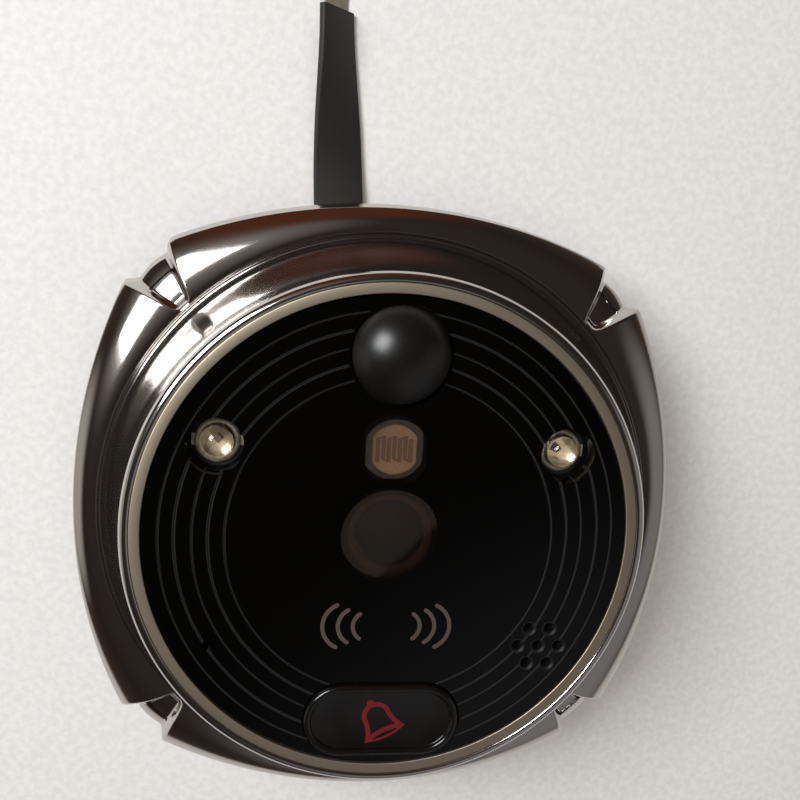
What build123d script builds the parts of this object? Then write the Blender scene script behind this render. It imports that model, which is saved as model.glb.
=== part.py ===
from build123d import *
import math
import os

# Outdoor unit of a digital peephole door camera, in millimetres.
# The back rests on the door at z = 0, +Z points out of the face, +Y is up on the door.

# Housing: four bowed sides, a rounded shoulder, and a round drum that carries the face
side_half = 34.45
side_bow_radius = 62.0
corner_radius = 6.0
door_gap = 0.5
deck_height = 6.5
shoulder_radius = 3.9
wall = 2.0
face_height = 15.3
foot_radius = 30.3
wall_hollow = 0.45
lip_radius = 27.2
lip_crest_radius = 26.6
lip_rise = 0.15
lip_drop = 0.8
crease_radius = 30.7
crease_size = 0.3
overrun = 1.0

# Corner notches in the deck, one on each diagonal
corner_angles = [45, 135, 225, 315]
notch_floor_radius = 36.75
notch_inner_half = 1.0
notch_outer_half = 2.3
notch_depth = 1.1
notch_side_slope = 14
notch_wall = 1.5

# Face: smoked panel on a ledge, with a flat ring round it
panel_radius = 24.8
panel_thickness = 2.0
panel_gap = 0.2
groove_radii = [16.8, 18.4, 20.0, 21.7, 23.3]
groove_half_width = 0.14
groove_depth = 0.1
adhesive_thickness = 0.3
ledge_radius = 23.4
ledge_thickness = 1.4
trim_inner_radius = 25.0
trim_outer_radius = 26.1
trim_thickness = 1.2
trim_proud = 0.08
trim_gap = 0.05
cavity_top_radius = 25.4
cavity_base_radius = 27.6
relief_gap = 0.35
tape_gap = 0.7

# Motion sensor window and sensor
pir_y = 19.0
pir_hole_radius = 5.3
pir_dome_radius = 4.9
pir_dome_rise = 3.0
pir_dome_skirt = 0.35
pir_dome_wall = 0.6
pir_flange_radius = 5.7
pir_can_radius = 4.55
pir_can_rim = 0.35
pir_can_height = 4.2
pir_can_edge = 0.4
pir_lead_angles = [90, 210, 330]
lead_radius = 0.22

# Infrared lamps
lamp_x = 17.9
lamp_y = 9.25
lamp_hole_radius = 2.85
lamp_dome_radius = 1.85
lamp_dome_height = 1.9
lamp_cup_radius = 2.3
lamp_cup_height = 0.9
lamp_lead_span = 5.2
lamp_lead_width = 1.2
lamp_lead_thickness = 0.25
lamp_board_radius = 3.4
lamp_board_thickness = 0.8
lamp_board_seat = 1.0
lamp_pin_radius = 0.3
lamp_pin_half_pitch = 1.27

# Light sensor
light_y = 9.1
light_radius = 2.65
light_half_width = 2.3
light_thickness = 2.0
light_setback = 0.4
light_lead_half_pitch = 1.7
light_hole_gap = 0.2

# Camera
barrel_radius = 4.8
barrel_setback = 0.7
barrel_length = 4.7
barrel_bore_radius = 3.6
barrel_seat_radius = 2.6
barrel_seat_depth = 1.3
glass_crown = 0.7
glass_setback = 0.25
thread_gap = 0.05
holder_side = 14.0
holder_corner = 1.0
holder_base_height = 1.6
holder_neck_radius = 6.2
holder_height = 3.4
holder_pocket_side = 8.4
holder_pocket_depth = 1.2
filter_radius = 4.5
filter_thickness = 0.3
sensor_side = 7.4
sensor_thickness = 0.9
seal_inner_radius = 5.1
seal_outer_radius = 6.1

# Sound: microphone at the left, loudspeaker at the right
mic_x = -18.2
mic_y = -11.5
mic_hole_radius = 0.55
mic_radius = 2.0
mic_thickness = 1.5
mic_boot_radius = 2.5
mic_nozzle_radius = 1.5
mic_boot_floor = 0.6
mic_pin_half_pitch = 1.0
sound_x = 16.45
sound_y = -11.65
sound_hole_radius = 0.55
sound_hole_pitch = 2.25
sound_hole_chamfer = 0.2
speaker_length = 15.0
speaker_width = 11.0
speaker_thickness = 3.2
speaker_corner = 2.0
speaker_distance = 18.2
speaker_gap = 0.2
speaker_top_land = 0.4
speaker_cone_length = 11.0
speaker_cone_width = 7.0
speaker_cone_depth = 0.5
speaker_seal_radius = 4.3
speaker_seal_wall = 1.0

# Call button and its switch
button_y = -19.8
button_length = 16.4
button_width = 7.9
button_rim_width = 0.75
button_rise = 0.65
button_dish = 0.4
button_gap = 0.2
button_flange = 0.45
button_flange_thickness = 0.8
button_flange_gap = 0.15
button_edge = 0.25
button_skin = 1.2
button_travel = 0.5
stem_radius = 1.6
pad_inset = 0.35
pad_wall = 1.0
pad_pocket_depth = 1.0
pad_pocket_gap = 0.15
stem_hole_gap = 0.5
switch_side = 6.0
switch_height = 3.1
switch_foot_width = 0.7
switch_foot_reach = 0.8
switch_foot_thickness = 0.3
plunger_radius = 1.75
plunger_proud = 0.6
plunger_depth = 0.7
plunger_gap = 0.07
plunger_play = 0.05

# Printed marks on the panel and the button
mark_thickness = 0.05
mark_stroke = 0.42
wave_y = -9.4
wave_vertices = [3.5, 5.05, 6.65]
wave_sags = [0.7, 1.0, 1.45]
wave_half_heights = [1.35, 1.77, 2.3]
bell_stroke = 0.5
bell_height = 3.85
bell_tilt = 26.3
bell_x = 0.475
bell_drop = 1.555
bell_half_width_shares = [0.605, 0.435, 0.4]
bell_level_shares = [0.0, 0.36, 0.66]
bell_mouth_share = 0.12
bell_knob_radius = 0.42

# Inner frame and circuit board
frame_radius = 25.1
frame_thickness = 1.7
board_radius = 24.2
board_thickness = 1.2
board_level = 5.0
leg_radius = 1.8
leg_distance = 22.3
leg_angles = [65, 115, 245, 295]
board_screw_radius = 0.8
board_screw_head_radius = 1.6
board_screw_head_height = 0.9
board_screw_length = 3.4
screw_gap = 0.05
screw_slot_width = 0.5
screw_slot_depth = 0.45

# Back cover, seal, screws and mounting pillars
cover_thickness = 1.8
cover_gap = 0.15
cover_post_radius = 1.8
cover_post_distance = 22.0
cover_post_angles = [30, 150, 210, 330]
gasket_thickness = 1.0
gasket_width = 3.0
gasket_edge_gap = 0.3
boss_distance = 29.0
boss_radius = 2.3
boss_root = 0.5
screw_radius = 1.0
screw_length = 3.0
screw_head_radius = 1.9
screw_head_height = 1.1
screw_recess_gap = 0.15
screw_recess_depth = 1.2
pillar_pitch = 16.0
pillar_radius = 3.0
pillar_length = 10.0
pillar_edge = 0.4
pillar_bore_radius = 1.65
pillar_bore_depth = 9.0
pillar_flange_radius = 4.5
pillar_flange_thickness = 1.0
pillar_gap = 0.05

# Flat cable: it drops through its grommet and runs up past the top of the housing
cable_width = 6.0
cable_thickness = 0.9
cable_x = -3.8
cable_y = 8.0
cable_heading = 4.3
bend_share = 0.45
cable_slot_gap = 0.25
socket_length = 8.4
socket_width = 3.0
socket_height = 1.4
grommet_length = 10.4
grommet_width = 4.4
grommet_flange = 0.8
grommet_flange_thickness = 0.5
grommet_gap = 0.1
cable_points = [
    (-3.8, 8.0, 3.6),
    (-3.8, 8.0, -4.9),
    (-4.12, 12.3, -9.3),
    (-4.9, 22.5, -9.35),
    (-6.1, 39.0, -8.9),
    (-7.35, 56.3, -8.6),
]
tail_points = [(-7.35, 56.3, -8.6), (-7.95, 64.3, -8.8), (-8.7, 71.3, -9.0)]
tail_width = 4.0
tail_thickness = 0.3
plug_length = 5.0
plug_width = 7.2
plug_thickness = 1.7
plug_corner = 0.3

# Parts on the circuit board: centre, length and width
chip_place = (12.5, 1.0)
chip_side = 9.0
chip_thickness = 1.0
shield_place = (-12.5, 0.0)
shield_length = 11.0
shield_width = 9.0
shield_height = 1.8
shield_skin = 0.2
shield_corner = 0.8
capacitor_place = (-11.0, -12.5)
capacitor_radius = 2.2
capacitor_height = 3.3
capacitor_edge = 0.3
memory_place = (11.0, -9.0)
memory_length = 6.0
memory_width = 5.0
memory_thickness = 0.9
chip_corner = 0.25

# Levels worked out from the sizes above
panel_back = face_height - panel_thickness
cover_level = gasket_thickness
ledge_top = panel_back - adhesive_thickness
ledge_base = ledge_top - ledge_thickness
frame_top = ledge_base
frame_base = frame_top - frame_thickness
board_top = board_level + board_thickness
cover_top = cover_level + cover_thickness
pocket_ceiling = deck_height - wall
panel_bore_radius = panel_radius + panel_gap
trim_seat = face_height + trim_proud - trim_thickness
foot_of_pillars = -pillar_length
pad_seat = frame_top - pad_pocket_depth
flange_top = panel_back - button_flange_gap
flange_base = flange_top - button_flange_thickness
plunger_top = board_top + switch_height + plunger_proud
stem_base = plunger_top + plunger_play
speaker_angle = math.degrees(math.atan2(sound_y, sound_x))

os.makedirs("parts", exist_ok=True)


def save(node, shape):
    export_step(shape, f"parts/{node}.step")


def disc(radius, low, high, x=0, y=0):
    """A round plate between two levels."""
    return Pos(x, y, low) * extrude(Circle(radius), high - low)


def ring(outer, inner, low, high, x=0, y=0):
    return Pos(x, y, low) * extrude(Circle(outer) - Circle(inner), high - low)


def stadium(length, width, low, high, x=0, y=0):
    """A plate with two straight sides and round ends."""
    return Pos(x, y, low) * extrude(SlotOverall(length, width), high - low)


def box(length, width, low, high, x=0, y=0, corner=0, turn=0):
    if corner:
        outline = RectangleRounded(length, width, corner)
    else:
        outline = Rectangle(length, width)
    return Pos(x, y, low) * Rot(0, 0, turn) * extrude(outline, high - low)


def around(distance, angles):
    """Places at one distance from the middle, at the given angles."""
    return [
        (distance * math.cos(math.radians(a)), distance * math.sin(math.radians(a)))
        for a in angles
    ]


def turned(points):
    """A solid of revolution about Z from its half section (radius, level)."""
    section = make_face(Polyline(points, close=True))
    return revolve(Plane.XZ * section, Axis.Z)


def plan(inset):
    """The housing's outline: four bowed sides, drawn in by the inset."""
    bow = side_bow_radius - inset
    centre = side_bow_radius - side_half
    corner = (math.sqrt(2 * bow**2 - centre**2) - centre) / 2
    side = side_half - inset
    corners = [(corner, corner), (-corner, corner), (-corner, -corner), (corner, -corner)]
    middles = [(0, side), (-side, 0), (0, -side), (side, 0)]
    ends = corners[1:] + corners[:1]
    sides = [ThreePointArc(*points) for points in zip(corners, middles, ends)]
    outline = make_face(sides)
    return fillet(outline.vertices(), corner_radius)


def pillow(inset, low, high, shoulder):
    """The bowed square block with a rounded top edge."""
    block = Pos(0, 0, low) * extrude(plan(inset), high - low)
    top = block.edges().group_by(Axis.Z)[-1]
    return fillet(top, shoulder)


def corner_lean():
    """Half the turn between two neighbouring sides at a corner, in radians."""
    centre = side_bow_radius - side_half
    return math.pi / 2 - math.acos(centre / (side_bow_radius * math.sqrt(2)))


def corner_reach():
    """Distance from the middle to the rounded corner, along the diagonal."""
    lean = corner_lean()
    sharp = side_bow_radius * math.sqrt(2) * math.sin(math.pi / 4 - lean)
    return sharp - corner_radius * (1 / math.cos(lean) - 1)


def notch_wedge():
    """The plan of one notch, widening outwards along +X."""
    start = crease_radius - crease_size
    end = side_bow_radius
    slope = (notch_outer_half - notch_inner_half) / (notch_floor_radius - start)
    end_half = notch_inner_half + slope * (end - start)
    points = [(start, -notch_inner_half), (end, -end_half), (end, end_half)]
    return make_face(Polyline(points + [(start, notch_inner_half)], close=True))


def notches():
    """What the four notches take away, down to a sunken copy of the deck."""
    sunk = (corner_reach() - notch_floor_radius) * math.cos(corner_lean())
    floor_level = deck_height - notch_depth
    floor = pillow(sunk, 0, floor_level, shoulder_radius)
    springing = floor_level - shoulder_radius
    flare = extrude(notch_wedge(), deck_height + overrun - springing, taper=-notch_side_slope)
    wedge = extrude(notch_wedge(), springing) + Pos(0, 0, springing) * flare
    return [Rot(0, 0, angle) * wedge - floor for angle in corner_angles]


def drum():
    """The round body that carries the face, with its hollow side and its lip."""
    lip_top = face_height + lip_rise
    lip_edge = face_height - lip_drop
    mid_radius = (lip_radius + foot_radius) / 2 - wall_hollow
    mid_level = (lip_edge + deck_height) / 2
    inner = trim_outer_radius + trim_gap
    outline = [
        Line((0, pocket_ceiling), (0, face_height)),
        Line((0, face_height), (inner, face_height)),
        ThreePointArc(
            (inner, face_height),
            ((inner + lip_crest_radius) / 2, face_height + lip_rise * math.sin(math.pi / 3)),
            (lip_crest_radius, lip_top),
        ),
        ThreePointArc(
            (lip_crest_radius, lip_top),
            (
                lip_crest_radius + (lip_radius - lip_crest_radius) * math.sin(math.pi / 4),
                lip_edge + (lip_top - lip_edge) * math.sin(math.pi / 4),
            ),
            (lip_radius, lip_edge),
        ),
        ThreePointArc((lip_radius, lip_edge), (mid_radius, mid_level), (foot_radius, deck_height)),
        Line((foot_radius, deck_height), (foot_radius, pocket_ceiling)),
        Line((foot_radius, pocket_ceiling), (0, pocket_ceiling)),
    ]
    return revolve(Plane.XZ * make_face(outline), Axis.Z)


def window_reliefs(low, high, gap):
    """Room in the ledge for what stands behind the panel's edge."""
    return [
        disc(pir_flange_radius + gap, low, high, 0, pir_y),
        disc(speaker_seal_radius + gap, low, high, sound_x, sound_y),
        stadium(
            button_length + 2 * (button_flange + gap),
            button_width + 2 * (button_flange + gap),
            low,
            high,
            0,
            button_y,
        ),
    ]


def front_housing():
    pocket = plan(wall) & Circle(notch_floor_radius - notch_wall)
    body = pillow(0, door_gap, deck_height, shoulder_radius)
    body = body - extrude(pocket, pocket_ceiling) + drum()
    crease = Plane.XZ * (Pos(crease_radius, deck_height) * Circle(crease_size))
    body -= revolve(crease, Axis.Z)
    for notch in notches():
        body -= notch
    bore = [
        (0, pocket_ceiling - overrun),
        (cavity_base_radius, pocket_ceiling - overrun),
        (cavity_base_radius, pocket_ceiling),
        (cavity_top_radius, ledge_base),
        (ledge_radius, ledge_base),
        (ledge_radius, ledge_top),
        (panel_bore_radius, ledge_top),
        (panel_bore_radius, trim_seat),
        (trim_outer_radius + trim_gap, trim_seat),
        (trim_outer_radius + trim_gap, face_height + lip_rise + overrun),
        (0, face_height + lip_rise + overrun),
    ]
    body -= turned(bore)
    for relief in window_reliefs(ledge_base, ledge_top, relief_gap):
        body -= relief
    for x, y in around(boss_distance, corner_angles):
        body += disc(boss_radius, cover_top, pocket_ceiling + boss_root, x, y)
        pilot_top = cover_level + screw_recess_depth + screw_length
        body -= disc(screw_radius + screw_gap, cover_top, pilot_top, x, y)
    return body


def trim_ring():
    low = trim_seat
    high = face_height + trim_proud
    body = ring(trim_outer_radius, trim_inner_radius, low, high)
    return chamfer(body.edges().group_by(Axis.Z)[-1], trim_proud)


def sound_holes(low, high, grow=0.0):
    """Six holes round a middle one."""
    places = [(sound_x, sound_y)]
    for x, y in around(sound_hole_pitch, range(0, 360, 60)):
        places.append((sound_x + x, sound_y + y))
    return [disc(sound_hole_radius + grow, low, high, x, y) for x, y in places]


def sound_countersinks():
    top = face_height
    reach = sound_hole_chamfer
    cutters = []
    for hole in sound_holes(top - reach, top + reach):
        middle = hole.center()
        cone = Cone(sound_hole_radius, sound_hole_radius + 2 * reach, 2 * reach)
        cutters.append(Pos(middle.X, middle.Y, top) * cone)
    return cutters


def face_panel():
    low = panel_back
    high = face_height
    body = disc(panel_radius, low, high)
    below = low - overrun
    above = high + overrun
    body -= disc(pir_hole_radius, below, above, 0, pir_y)
    for side in (-1, 1):
        body -= disc(lamp_hole_radius, below, above, side * lamp_x, lamp_y)
    body -= disc(mic_hole_radius, below, above, mic_x, mic_y)
    for hole in sound_holes(below, above) + sound_countersinks():
        body -= hole
    body -= stadium(
        button_length + 2 * button_gap, button_width + 2 * button_gap, below, above, 0, button_y
    )
    for radius in groove_radii:
        body -= turned(
            [
                (radius - groove_half_width, high),
                (radius, high - groove_depth),
                (radius + groove_half_width, high),
            ]
        )
    return body


def panel_adhesive():
    """Double-sided tape between the ledge and the panel, in three pieces between the windows."""
    body = ring(panel_radius, ledge_radius, ledge_top, panel_back)
    for relief in window_reliefs(ledge_top, panel_back, tape_gap):
        body -= relief
    return body


def wave_line(vertex, sag, half_height, side):
    """One bowed line of the sound waves, a stroke wide, with round ends."""
    tip = side * (vertex - sag)
    bow = side * vertex
    line = ThreePointArc((tip, -half_height), (bow, 0), (tip, half_height))
    stroke = trace(line, mark_stroke)
    ends = [Pos(tip, end) * Circle(mark_stroke / 2) for end in (-half_height, half_height)]
    return stroke + ends[0] + ends[1]


def wave_marks():
    marks = []
    for side in (-1, 1):
        for vertex, sag, half_height in zip(wave_vertices, wave_sags, wave_half_heights):
            line = wave_line(vertex, sag, half_height, side)
            marks.append(Pos(0, wave_y, face_height) * extrude(line, mark_thickness))
    return Compound(children=[mark.solid() for mark in marks])


def pir_dome():
    """The motion sensor's window: a flange under the panel and a low dome above it."""
    spring = face_height + pir_dome_skirt
    rise = pir_dome_rise - pir_dome_skirt
    ball = (pir_dome_radius**2 + rise**2) / (2 * rise)
    top = spring + rise
    inner = ball - pir_dome_wall
    centre = top - ball
    outside = disc(pir_dome_radius, frame_top, spring, 0, pir_y)
    cap = Pos(0, pir_y, centre) * Sphere(ball) & disc(pir_dome_radius, spring, top, 0, pir_y)
    body = outside + cap + disc(pir_flange_radius, frame_top, panel_back, 0, pir_y)
    bore_radius = pir_dome_radius - pir_dome_wall
    bore_top = centre + math.sqrt(inner**2 - bore_radius**2)
    body -= disc(bore_radius, frame_top, bore_top, 0, pir_y)
    body -= Pos(0, pir_y, centre) * Sphere(inner) & disc(bore_radius, bore_top, top, 0, pir_y)
    can_room = pir_can_radius + pir_dome_wall / 2
    body -= disc(can_room, frame_top, panel_back - pir_dome_wall, 0, pir_y)
    return body


def pir_sensor():
    """A round metal can on three leads, with its square window cut in the top."""
    top = frame_top + relief_gap
    base = top - pir_can_height
    body = disc(pir_can_radius, base, top, 0, pir_y)
    body = fillet(body.edges().group_by(Axis.Z)[-1], pir_can_edge)
    rim = pir_can_radius + pir_can_rim
    body += disc(rim, base, base + pir_can_rim, 0, pir_y)
    window = pir_can_radius - pir_can_edge
    body -= box(window, window, top - pir_can_rim, top + overrun, 0, pir_y)
    for x, y in around(pir_can_radius / 2, pir_lead_angles):
        body += disc(lead_radius, board_top, base, x, pir_y + y)
    return body


def lamp_board(side):
    """A small round board on the frame's seat, with two pins down to the main board."""
    body = disc(lamp_board_radius, frame_top - lamp_board_thickness, frame_top, side * lamp_x, lamp_y)
    for pin in (-lamp_pin_half_pitch, lamp_pin_half_pitch):
        foot = disc(
            lamp_pin_radius, board_top, frame_top - lamp_board_thickness, side * lamp_x + pin, lamp_y
        )
        body += foot
    return body


def lamp_cup(side):
    """The lamp's moulded cup with a flat lead out to each side."""
    x = side * lamp_x
    body = disc(lamp_cup_radius, frame_top, frame_top + lamp_cup_height, x, lamp_y)
    rim = body.edges().group_by(Axis.Z)[-1]
    body = chamfer(rim, lamp_lead_thickness)
    leads = box(
        lamp_lead_span, lamp_lead_width, frame_top, frame_top + lamp_lead_thickness, x, lamp_y
    )
    return body + leads


def lamp_dome(side):
    """The clear lens: a short round body with a domed top."""
    base = frame_top + lamp_cup_height
    top = base + lamp_dome_height
    ball = lamp_dome_radius
    body = disc(ball, base, top, side * lamp_x, lamp_y)
    cap = Pos(side * lamp_x, lamp_y, top - ball) * Sphere(ball)
    neck = disc(ball, base, top - ball, side * lamp_x, lamp_y)
    return neck + (cap & body)


def light_outline(grow=0.0):
    radius = light_radius + grow
    return Circle(radius) & Rectangle(2 * (light_half_width + grow), 2 * radius)


def light_sensor():
    """A flat round cell, cut straight at both sides, on two leads."""
    top = panel_back - light_setback
    base = top - light_thickness
    body = Pos(0, light_y, base) * extrude(light_outline(), light_thickness)
    for x in (-light_lead_half_pitch, light_lead_half_pitch):
        body += disc(lead_radius, board_top, base, x, light_y)
    return body


def lens_barrel():
    top = panel_back - barrel_setback
    base = top - barrel_length
    body = disc(barrel_radius, base, top)
    body -= disc(barrel_seat_radius, base - overrun, top)
    body -= disc(barrel_bore_radius, top - glass_setback - barrel_seat_depth, top + overrun)
    return chamfer(body.edges().group_by(Axis.Z)[-1].sort_by(SortBy.RADIUS)[0], glass_setback / 2)


def lens_glass():
    """The front lens: flat behind, crowned in front."""
    top = panel_back - barrel_setback - glass_setback
    base = top - barrel_seat_depth
    radius = barrel_bore_radius - thread_gap
    ball = (radius**2 + glass_crown**2) / (2 * glass_crown)
    crown = Pos(0, 0, top - ball) * Sphere(ball)
    return disc(radius, base, top) & crown


def lens_holder():
    """The square foot and round neck that the barrel screws into."""
    neck_top = board_top + holder_height
    body = box(
        holder_side, holder_side, board_top, board_top + holder_base_height, corner=holder_corner
    )
    body += disc(holder_neck_radius, board_top, neck_top)
    pocket = board_top + holder_pocket_depth
    body -= box(holder_pocket_side, holder_pocket_side, board_top, pocket)
    body -= disc(barrel_radius + thread_gap, pocket, neck_top)
    return body


def ir_filter():
    """A thin round filter lying on the pocket's rim, between the lens and the sensor."""
    base = board_top + holder_pocket_depth
    return disc(filter_radius, base, base + filter_thickness)


def image_sensor():
    return box(sensor_side, sensor_side, board_top, board_top + sensor_thickness)


def lens_light_seal():
    """A foam ring round the barrel, so that lamp light can't leak into the lens."""
    return ring(seal_outer_radius, seal_inner_radius, frame_top, panel_back)


def speaker_box(length, width, low, high, corner):
    x, y = around(speaker_distance, [speaker_angle])[0]
    return box(length, width, low, high, x, y, corner, speaker_angle + 90)


def speaker():
    top = frame_top - speaker_top_land
    base = top - speaker_thickness
    body = speaker_box(speaker_length, speaker_width, base, top, speaker_corner)
    dish = speaker_box(
        speaker_cone_length, speaker_cone_width, top - speaker_cone_depth, top, speaker_corner
    )
    cone = speaker_box(
        speaker_cone_length - 2 * speaker_corner,
        speaker_cone_width - 2 * speaker_corner,
        top - speaker_cone_depth,
        top - speaker_cone_depth / 2,
        speaker_corner / 2,
    )
    return body - dish + cone


def speaker_seal():
    """A foam ring from the frame up to the panel, round the sound holes."""
    inner = speaker_seal_radius - speaker_seal_wall
    return ring(speaker_seal_radius, inner, frame_top, panel_back, sound_x, sound_y)


def microphone():
    base = frame_base
    body = disc(mic_radius, base, base + mic_thickness, mic_x, mic_y)
    body -= disc(mic_hole_radius, base + mic_thickness / 2, base + mic_thickness, mic_x, mic_y)
    for pin in (-mic_pin_half_pitch, mic_pin_half_pitch):
        body += disc(lead_radius, board_top, base, mic_x + pin, mic_y)
    return body


def mic_boot():
    """The rubber sleeve that holds the microphone and leads sound down to it."""
    low = frame_base - mic_boot_floor
    body = disc(mic_boot_radius, low, frame_top, mic_x, mic_y)
    body += disc(mic_nozzle_radius, frame_top, panel_back, mic_x, mic_y)
    body -= disc(mic_radius, low, frame_base + mic_thickness, mic_x, mic_y)
    body -= disc(mic_hole_radius, low, panel_back, mic_x, mic_y)
    return body


def call_button():
    """The cap stands proud of the panel, with a raised rim round a dished middle."""
    top = face_height + button_rise
    body = stadium(button_length, button_width, flange_base, top, 0, button_y)
    rim = body.edges().group_by(Axis.Z)[-1]
    body = fillet(rim, button_edge)
    dish_length = button_length - 2 * button_rim_width
    dish_width = button_width - 2 * button_rim_width
    body -= stadium(dish_length, dish_width, top - button_dish, top + overrun, 0, button_y)
    body += stadium(
        button_length + 2 * button_flange,
        button_width + 2 * button_flange,
        flange_base,
        flange_top,
        0,
        button_y,
    )
    body -= stadium(
        dish_length, dish_width, flange_base, top - button_dish - button_skin, 0, button_y
    )
    body += disc(stem_radius, stem_base, top - button_dish, 0, button_y)
    return body


def bell_outline():
    """A bell standing on its mouth: two hollow sides, a round crown and a bowed mouth."""
    mouth, waist, crown = [share * bell_height for share in bell_half_width_shares]
    foot, middle, spring = [share * bell_height for share in bell_level_shares]
    right = ThreePointArc((mouth, foot), (waist, middle), (crown, spring))
    top = ThreePointArc((crown, spring), (0, bell_height), (-crown, spring))
    left = ThreePointArc((-crown, spring), (-waist, middle), (-mouth, foot))
    rim = ThreePointArc((-mouth, foot), (0, -bell_mouth_share * bell_height), (mouth, foot))
    return make_face([right, top, left, rim])


def bell_mouth():
    """The open mouth as the eye sees it, a thin lens between two bows."""
    half = bell_half_width_shares[0] * bell_height
    drop = bell_mouth_share * bell_height
    lower = ThreePointArc((-half, 0), (0, -drop), (half, 0))
    upper = ThreePointArc((half, 0), (0, drop), (-half, 0))
    return make_face([lower, upper])


def bell_symbol():
    body = bell_outline()
    above_mouth = offset(body, -bell_stroke) - offset(bell_mouth(), bell_stroke / 2)
    opening = offset(bell_mouth(), -bell_stroke / 2) & offset(body, -bell_stroke / 2)
    knob = Pos(0, bell_height) * Circle(bell_knob_radius)
    symbol = body + knob - above_mouth - opening
    level = face_height + button_rise - button_dish
    place = Pos(bell_x, button_y - bell_drop, level) * Rot(0, 0, bell_tilt)
    return place * extrude(symbol, mark_thickness)


def button_pad():
    """The silicone ring that pushes the button back up."""
    length = button_length - 2 * pad_inset
    width = button_width - 2 * pad_inset
    body = stadium(length, width, pad_seat, flange_base, 0, button_y)
    hollow = stadium(
        length - 2 * pad_wall, width - 2 * pad_wall, pad_seat, flange_base, 0, button_y
    )
    return body - hollow


def tact_switch():
    """The switch under the button, with four feet on the board and a bore for its plunger."""
    top = board_top + switch_height
    body = box(switch_side, switch_side, board_top, top, 0, button_y, corner=switch_foot_thickness)
    bore_floor = plunger_top - plunger_proud - plunger_depth - button_travel - plunger_play
    body -= disc(plunger_radius + plunger_gap, bore_floor, top, 0, button_y)
    for x in (-1, 1):
        for y in (-1, 1):
            body += box(
                switch_side / 2 + switch_foot_reach,
                switch_foot_width,
                board_top,
                board_top + switch_foot_thickness,
                x * (switch_side / 2 + switch_foot_reach) / 2,
                button_y + y * (switch_side / 2 - switch_foot_width),
            )
    return body


def switch_plunger():
    low = plunger_top - plunger_proud - plunger_depth
    body = disc(plunger_radius, low, plunger_top, 0, button_y)
    return chamfer(body.edges().group_by(Axis.Z)[-1], plunger_play)


def inner_frame():
    """The black moulding that carries lens, lamps, sensors, sound parts and button pad."""
    low = frame_base
    high = frame_top
    body = disc(frame_radius, low, high)
    for x, y in around(leg_distance, leg_angles):
        body += disc(leg_radius, board_top, low, x, y)
        body -= disc(
            board_screw_radius + screw_gap, board_top, board_level + board_screw_length, x, y
        )
    body -= disc(seal_inner_radius, low, high)
    body -= disc(pir_can_radius + pir_can_rim + screw_gap, low, high, 0, pir_y)
    for side in (-1, 1):
        x = side * lamp_x
        seat = high - lamp_board_thickness
        body -= disc(lamp_board_radius + screw_gap, seat, high, x, lamp_y)
        body -= disc(lamp_board_radius - lamp_board_seat, low, seat, x, lamp_y)
    body -= Pos(0, light_y, low) * extrude(light_outline(light_hole_gap), frame_thickness)
    body -= disc(mic_boot_radius + screw_gap, low, high, mic_x, mic_y)
    pocket_top = high - speaker_top_land
    length = speaker_length + 2 * speaker_gap
    width = speaker_width + 2 * speaker_gap
    body -= speaker_box(length, width, low, pocket_top, speaker_corner)
    port = speaker_seal_radius - speaker_seal_wall
    body -= disc(port, pocket_top, high, sound_x, sound_y)
    pocket_length = button_length - 2 * (pad_inset - pad_pocket_gap)
    pocket_width = button_width - 2 * (pad_inset - pad_pocket_gap)
    body -= stadium(pocket_length, pocket_width, pad_seat, high, 0, button_y)
    body -= disc(stem_radius + stem_hole_gap, low, pad_seat, 0, button_y)
    return body


def main_board():
    body = disc(board_radius, board_level, board_top)
    for x, y in around(leg_distance, leg_angles):
        body -= disc(board_screw_radius + screw_gap, board_level, board_top, x, y)
    return body


def slotted_screw(shank, length, head, head_height, level, x, y):
    """A pan head screw pointing up, its head below the given level."""
    body = disc(shank, level, level + length, x, y)
    cap = disc(head, level - head_height, level, x, y)
    cap = fillet(cap.edges().group_by(Axis.Z)[0], head_height / 2)
    body += cap
    low = level - head_height
    for turn in (0, 90):
        body -= box(head, screw_slot_width, low, low + screw_slot_depth, x, y, turn=turn)
    return body


def board_screws():
    screws = []
    for x, y in around(leg_distance, leg_angles):
        screws.append(
            slotted_screw(
                board_screw_radius,
                board_screw_length - screw_gap,
                board_screw_head_radius,
                board_screw_head_height,
                board_level,
                x,
                y,
            )
        )
    return Compound(children=[screw.solid() for screw in screws])


def rear_screws():
    screws = []
    seat = cover_level + screw_recess_depth
    for x, y in around(boss_distance, corner_angles):
        screws.append(
            slotted_screw(
                screw_radius,
                screw_length - screw_gap,
                screw_head_radius,
                screw_head_height,
                seat,
                x,
                y,
            )
        )
    return Compound(children=[screw.solid() for screw in screws])


def cover_outline(gap):
    limit = notch_floor_radius - notch_wall - gap
    return plan(wall + gap) & Circle(limit)


def rear_cover():
    body = Pos(0, 0, cover_level) * extrude(cover_outline(cover_gap), cover_thickness)
    for x, y in around(cover_post_distance, cover_post_angles):
        body += disc(cover_post_radius, cover_top, board_level, x, y)
    seat = cover_level + screw_recess_depth
    for x, y in around(boss_distance, corner_angles):
        body -= disc(screw_head_radius + screw_recess_gap, cover_level, seat, x, y)
        body -= disc(screw_radius + screw_gap, seat, cover_top, x, y)
    for side in (-1, 1):
        x = side * pillar_pitch / 2
        body -= disc(pillar_radius + pillar_gap, cover_level, cover_top, x, 0)
    body -= grommet_plate(0, cover_level, cover_top)
    return body


def grommet_plate(grow, low, high):
    """The grommet's outline, set square to the way the cable runs off."""
    outline = SlotOverall(grommet_length + 2 * grow, grommet_width + 2 * grow)
    return Pos(cable_x, cable_y, low) * Rot(0, 0, cable_heading) * extrude(outline, high - low)


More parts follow.
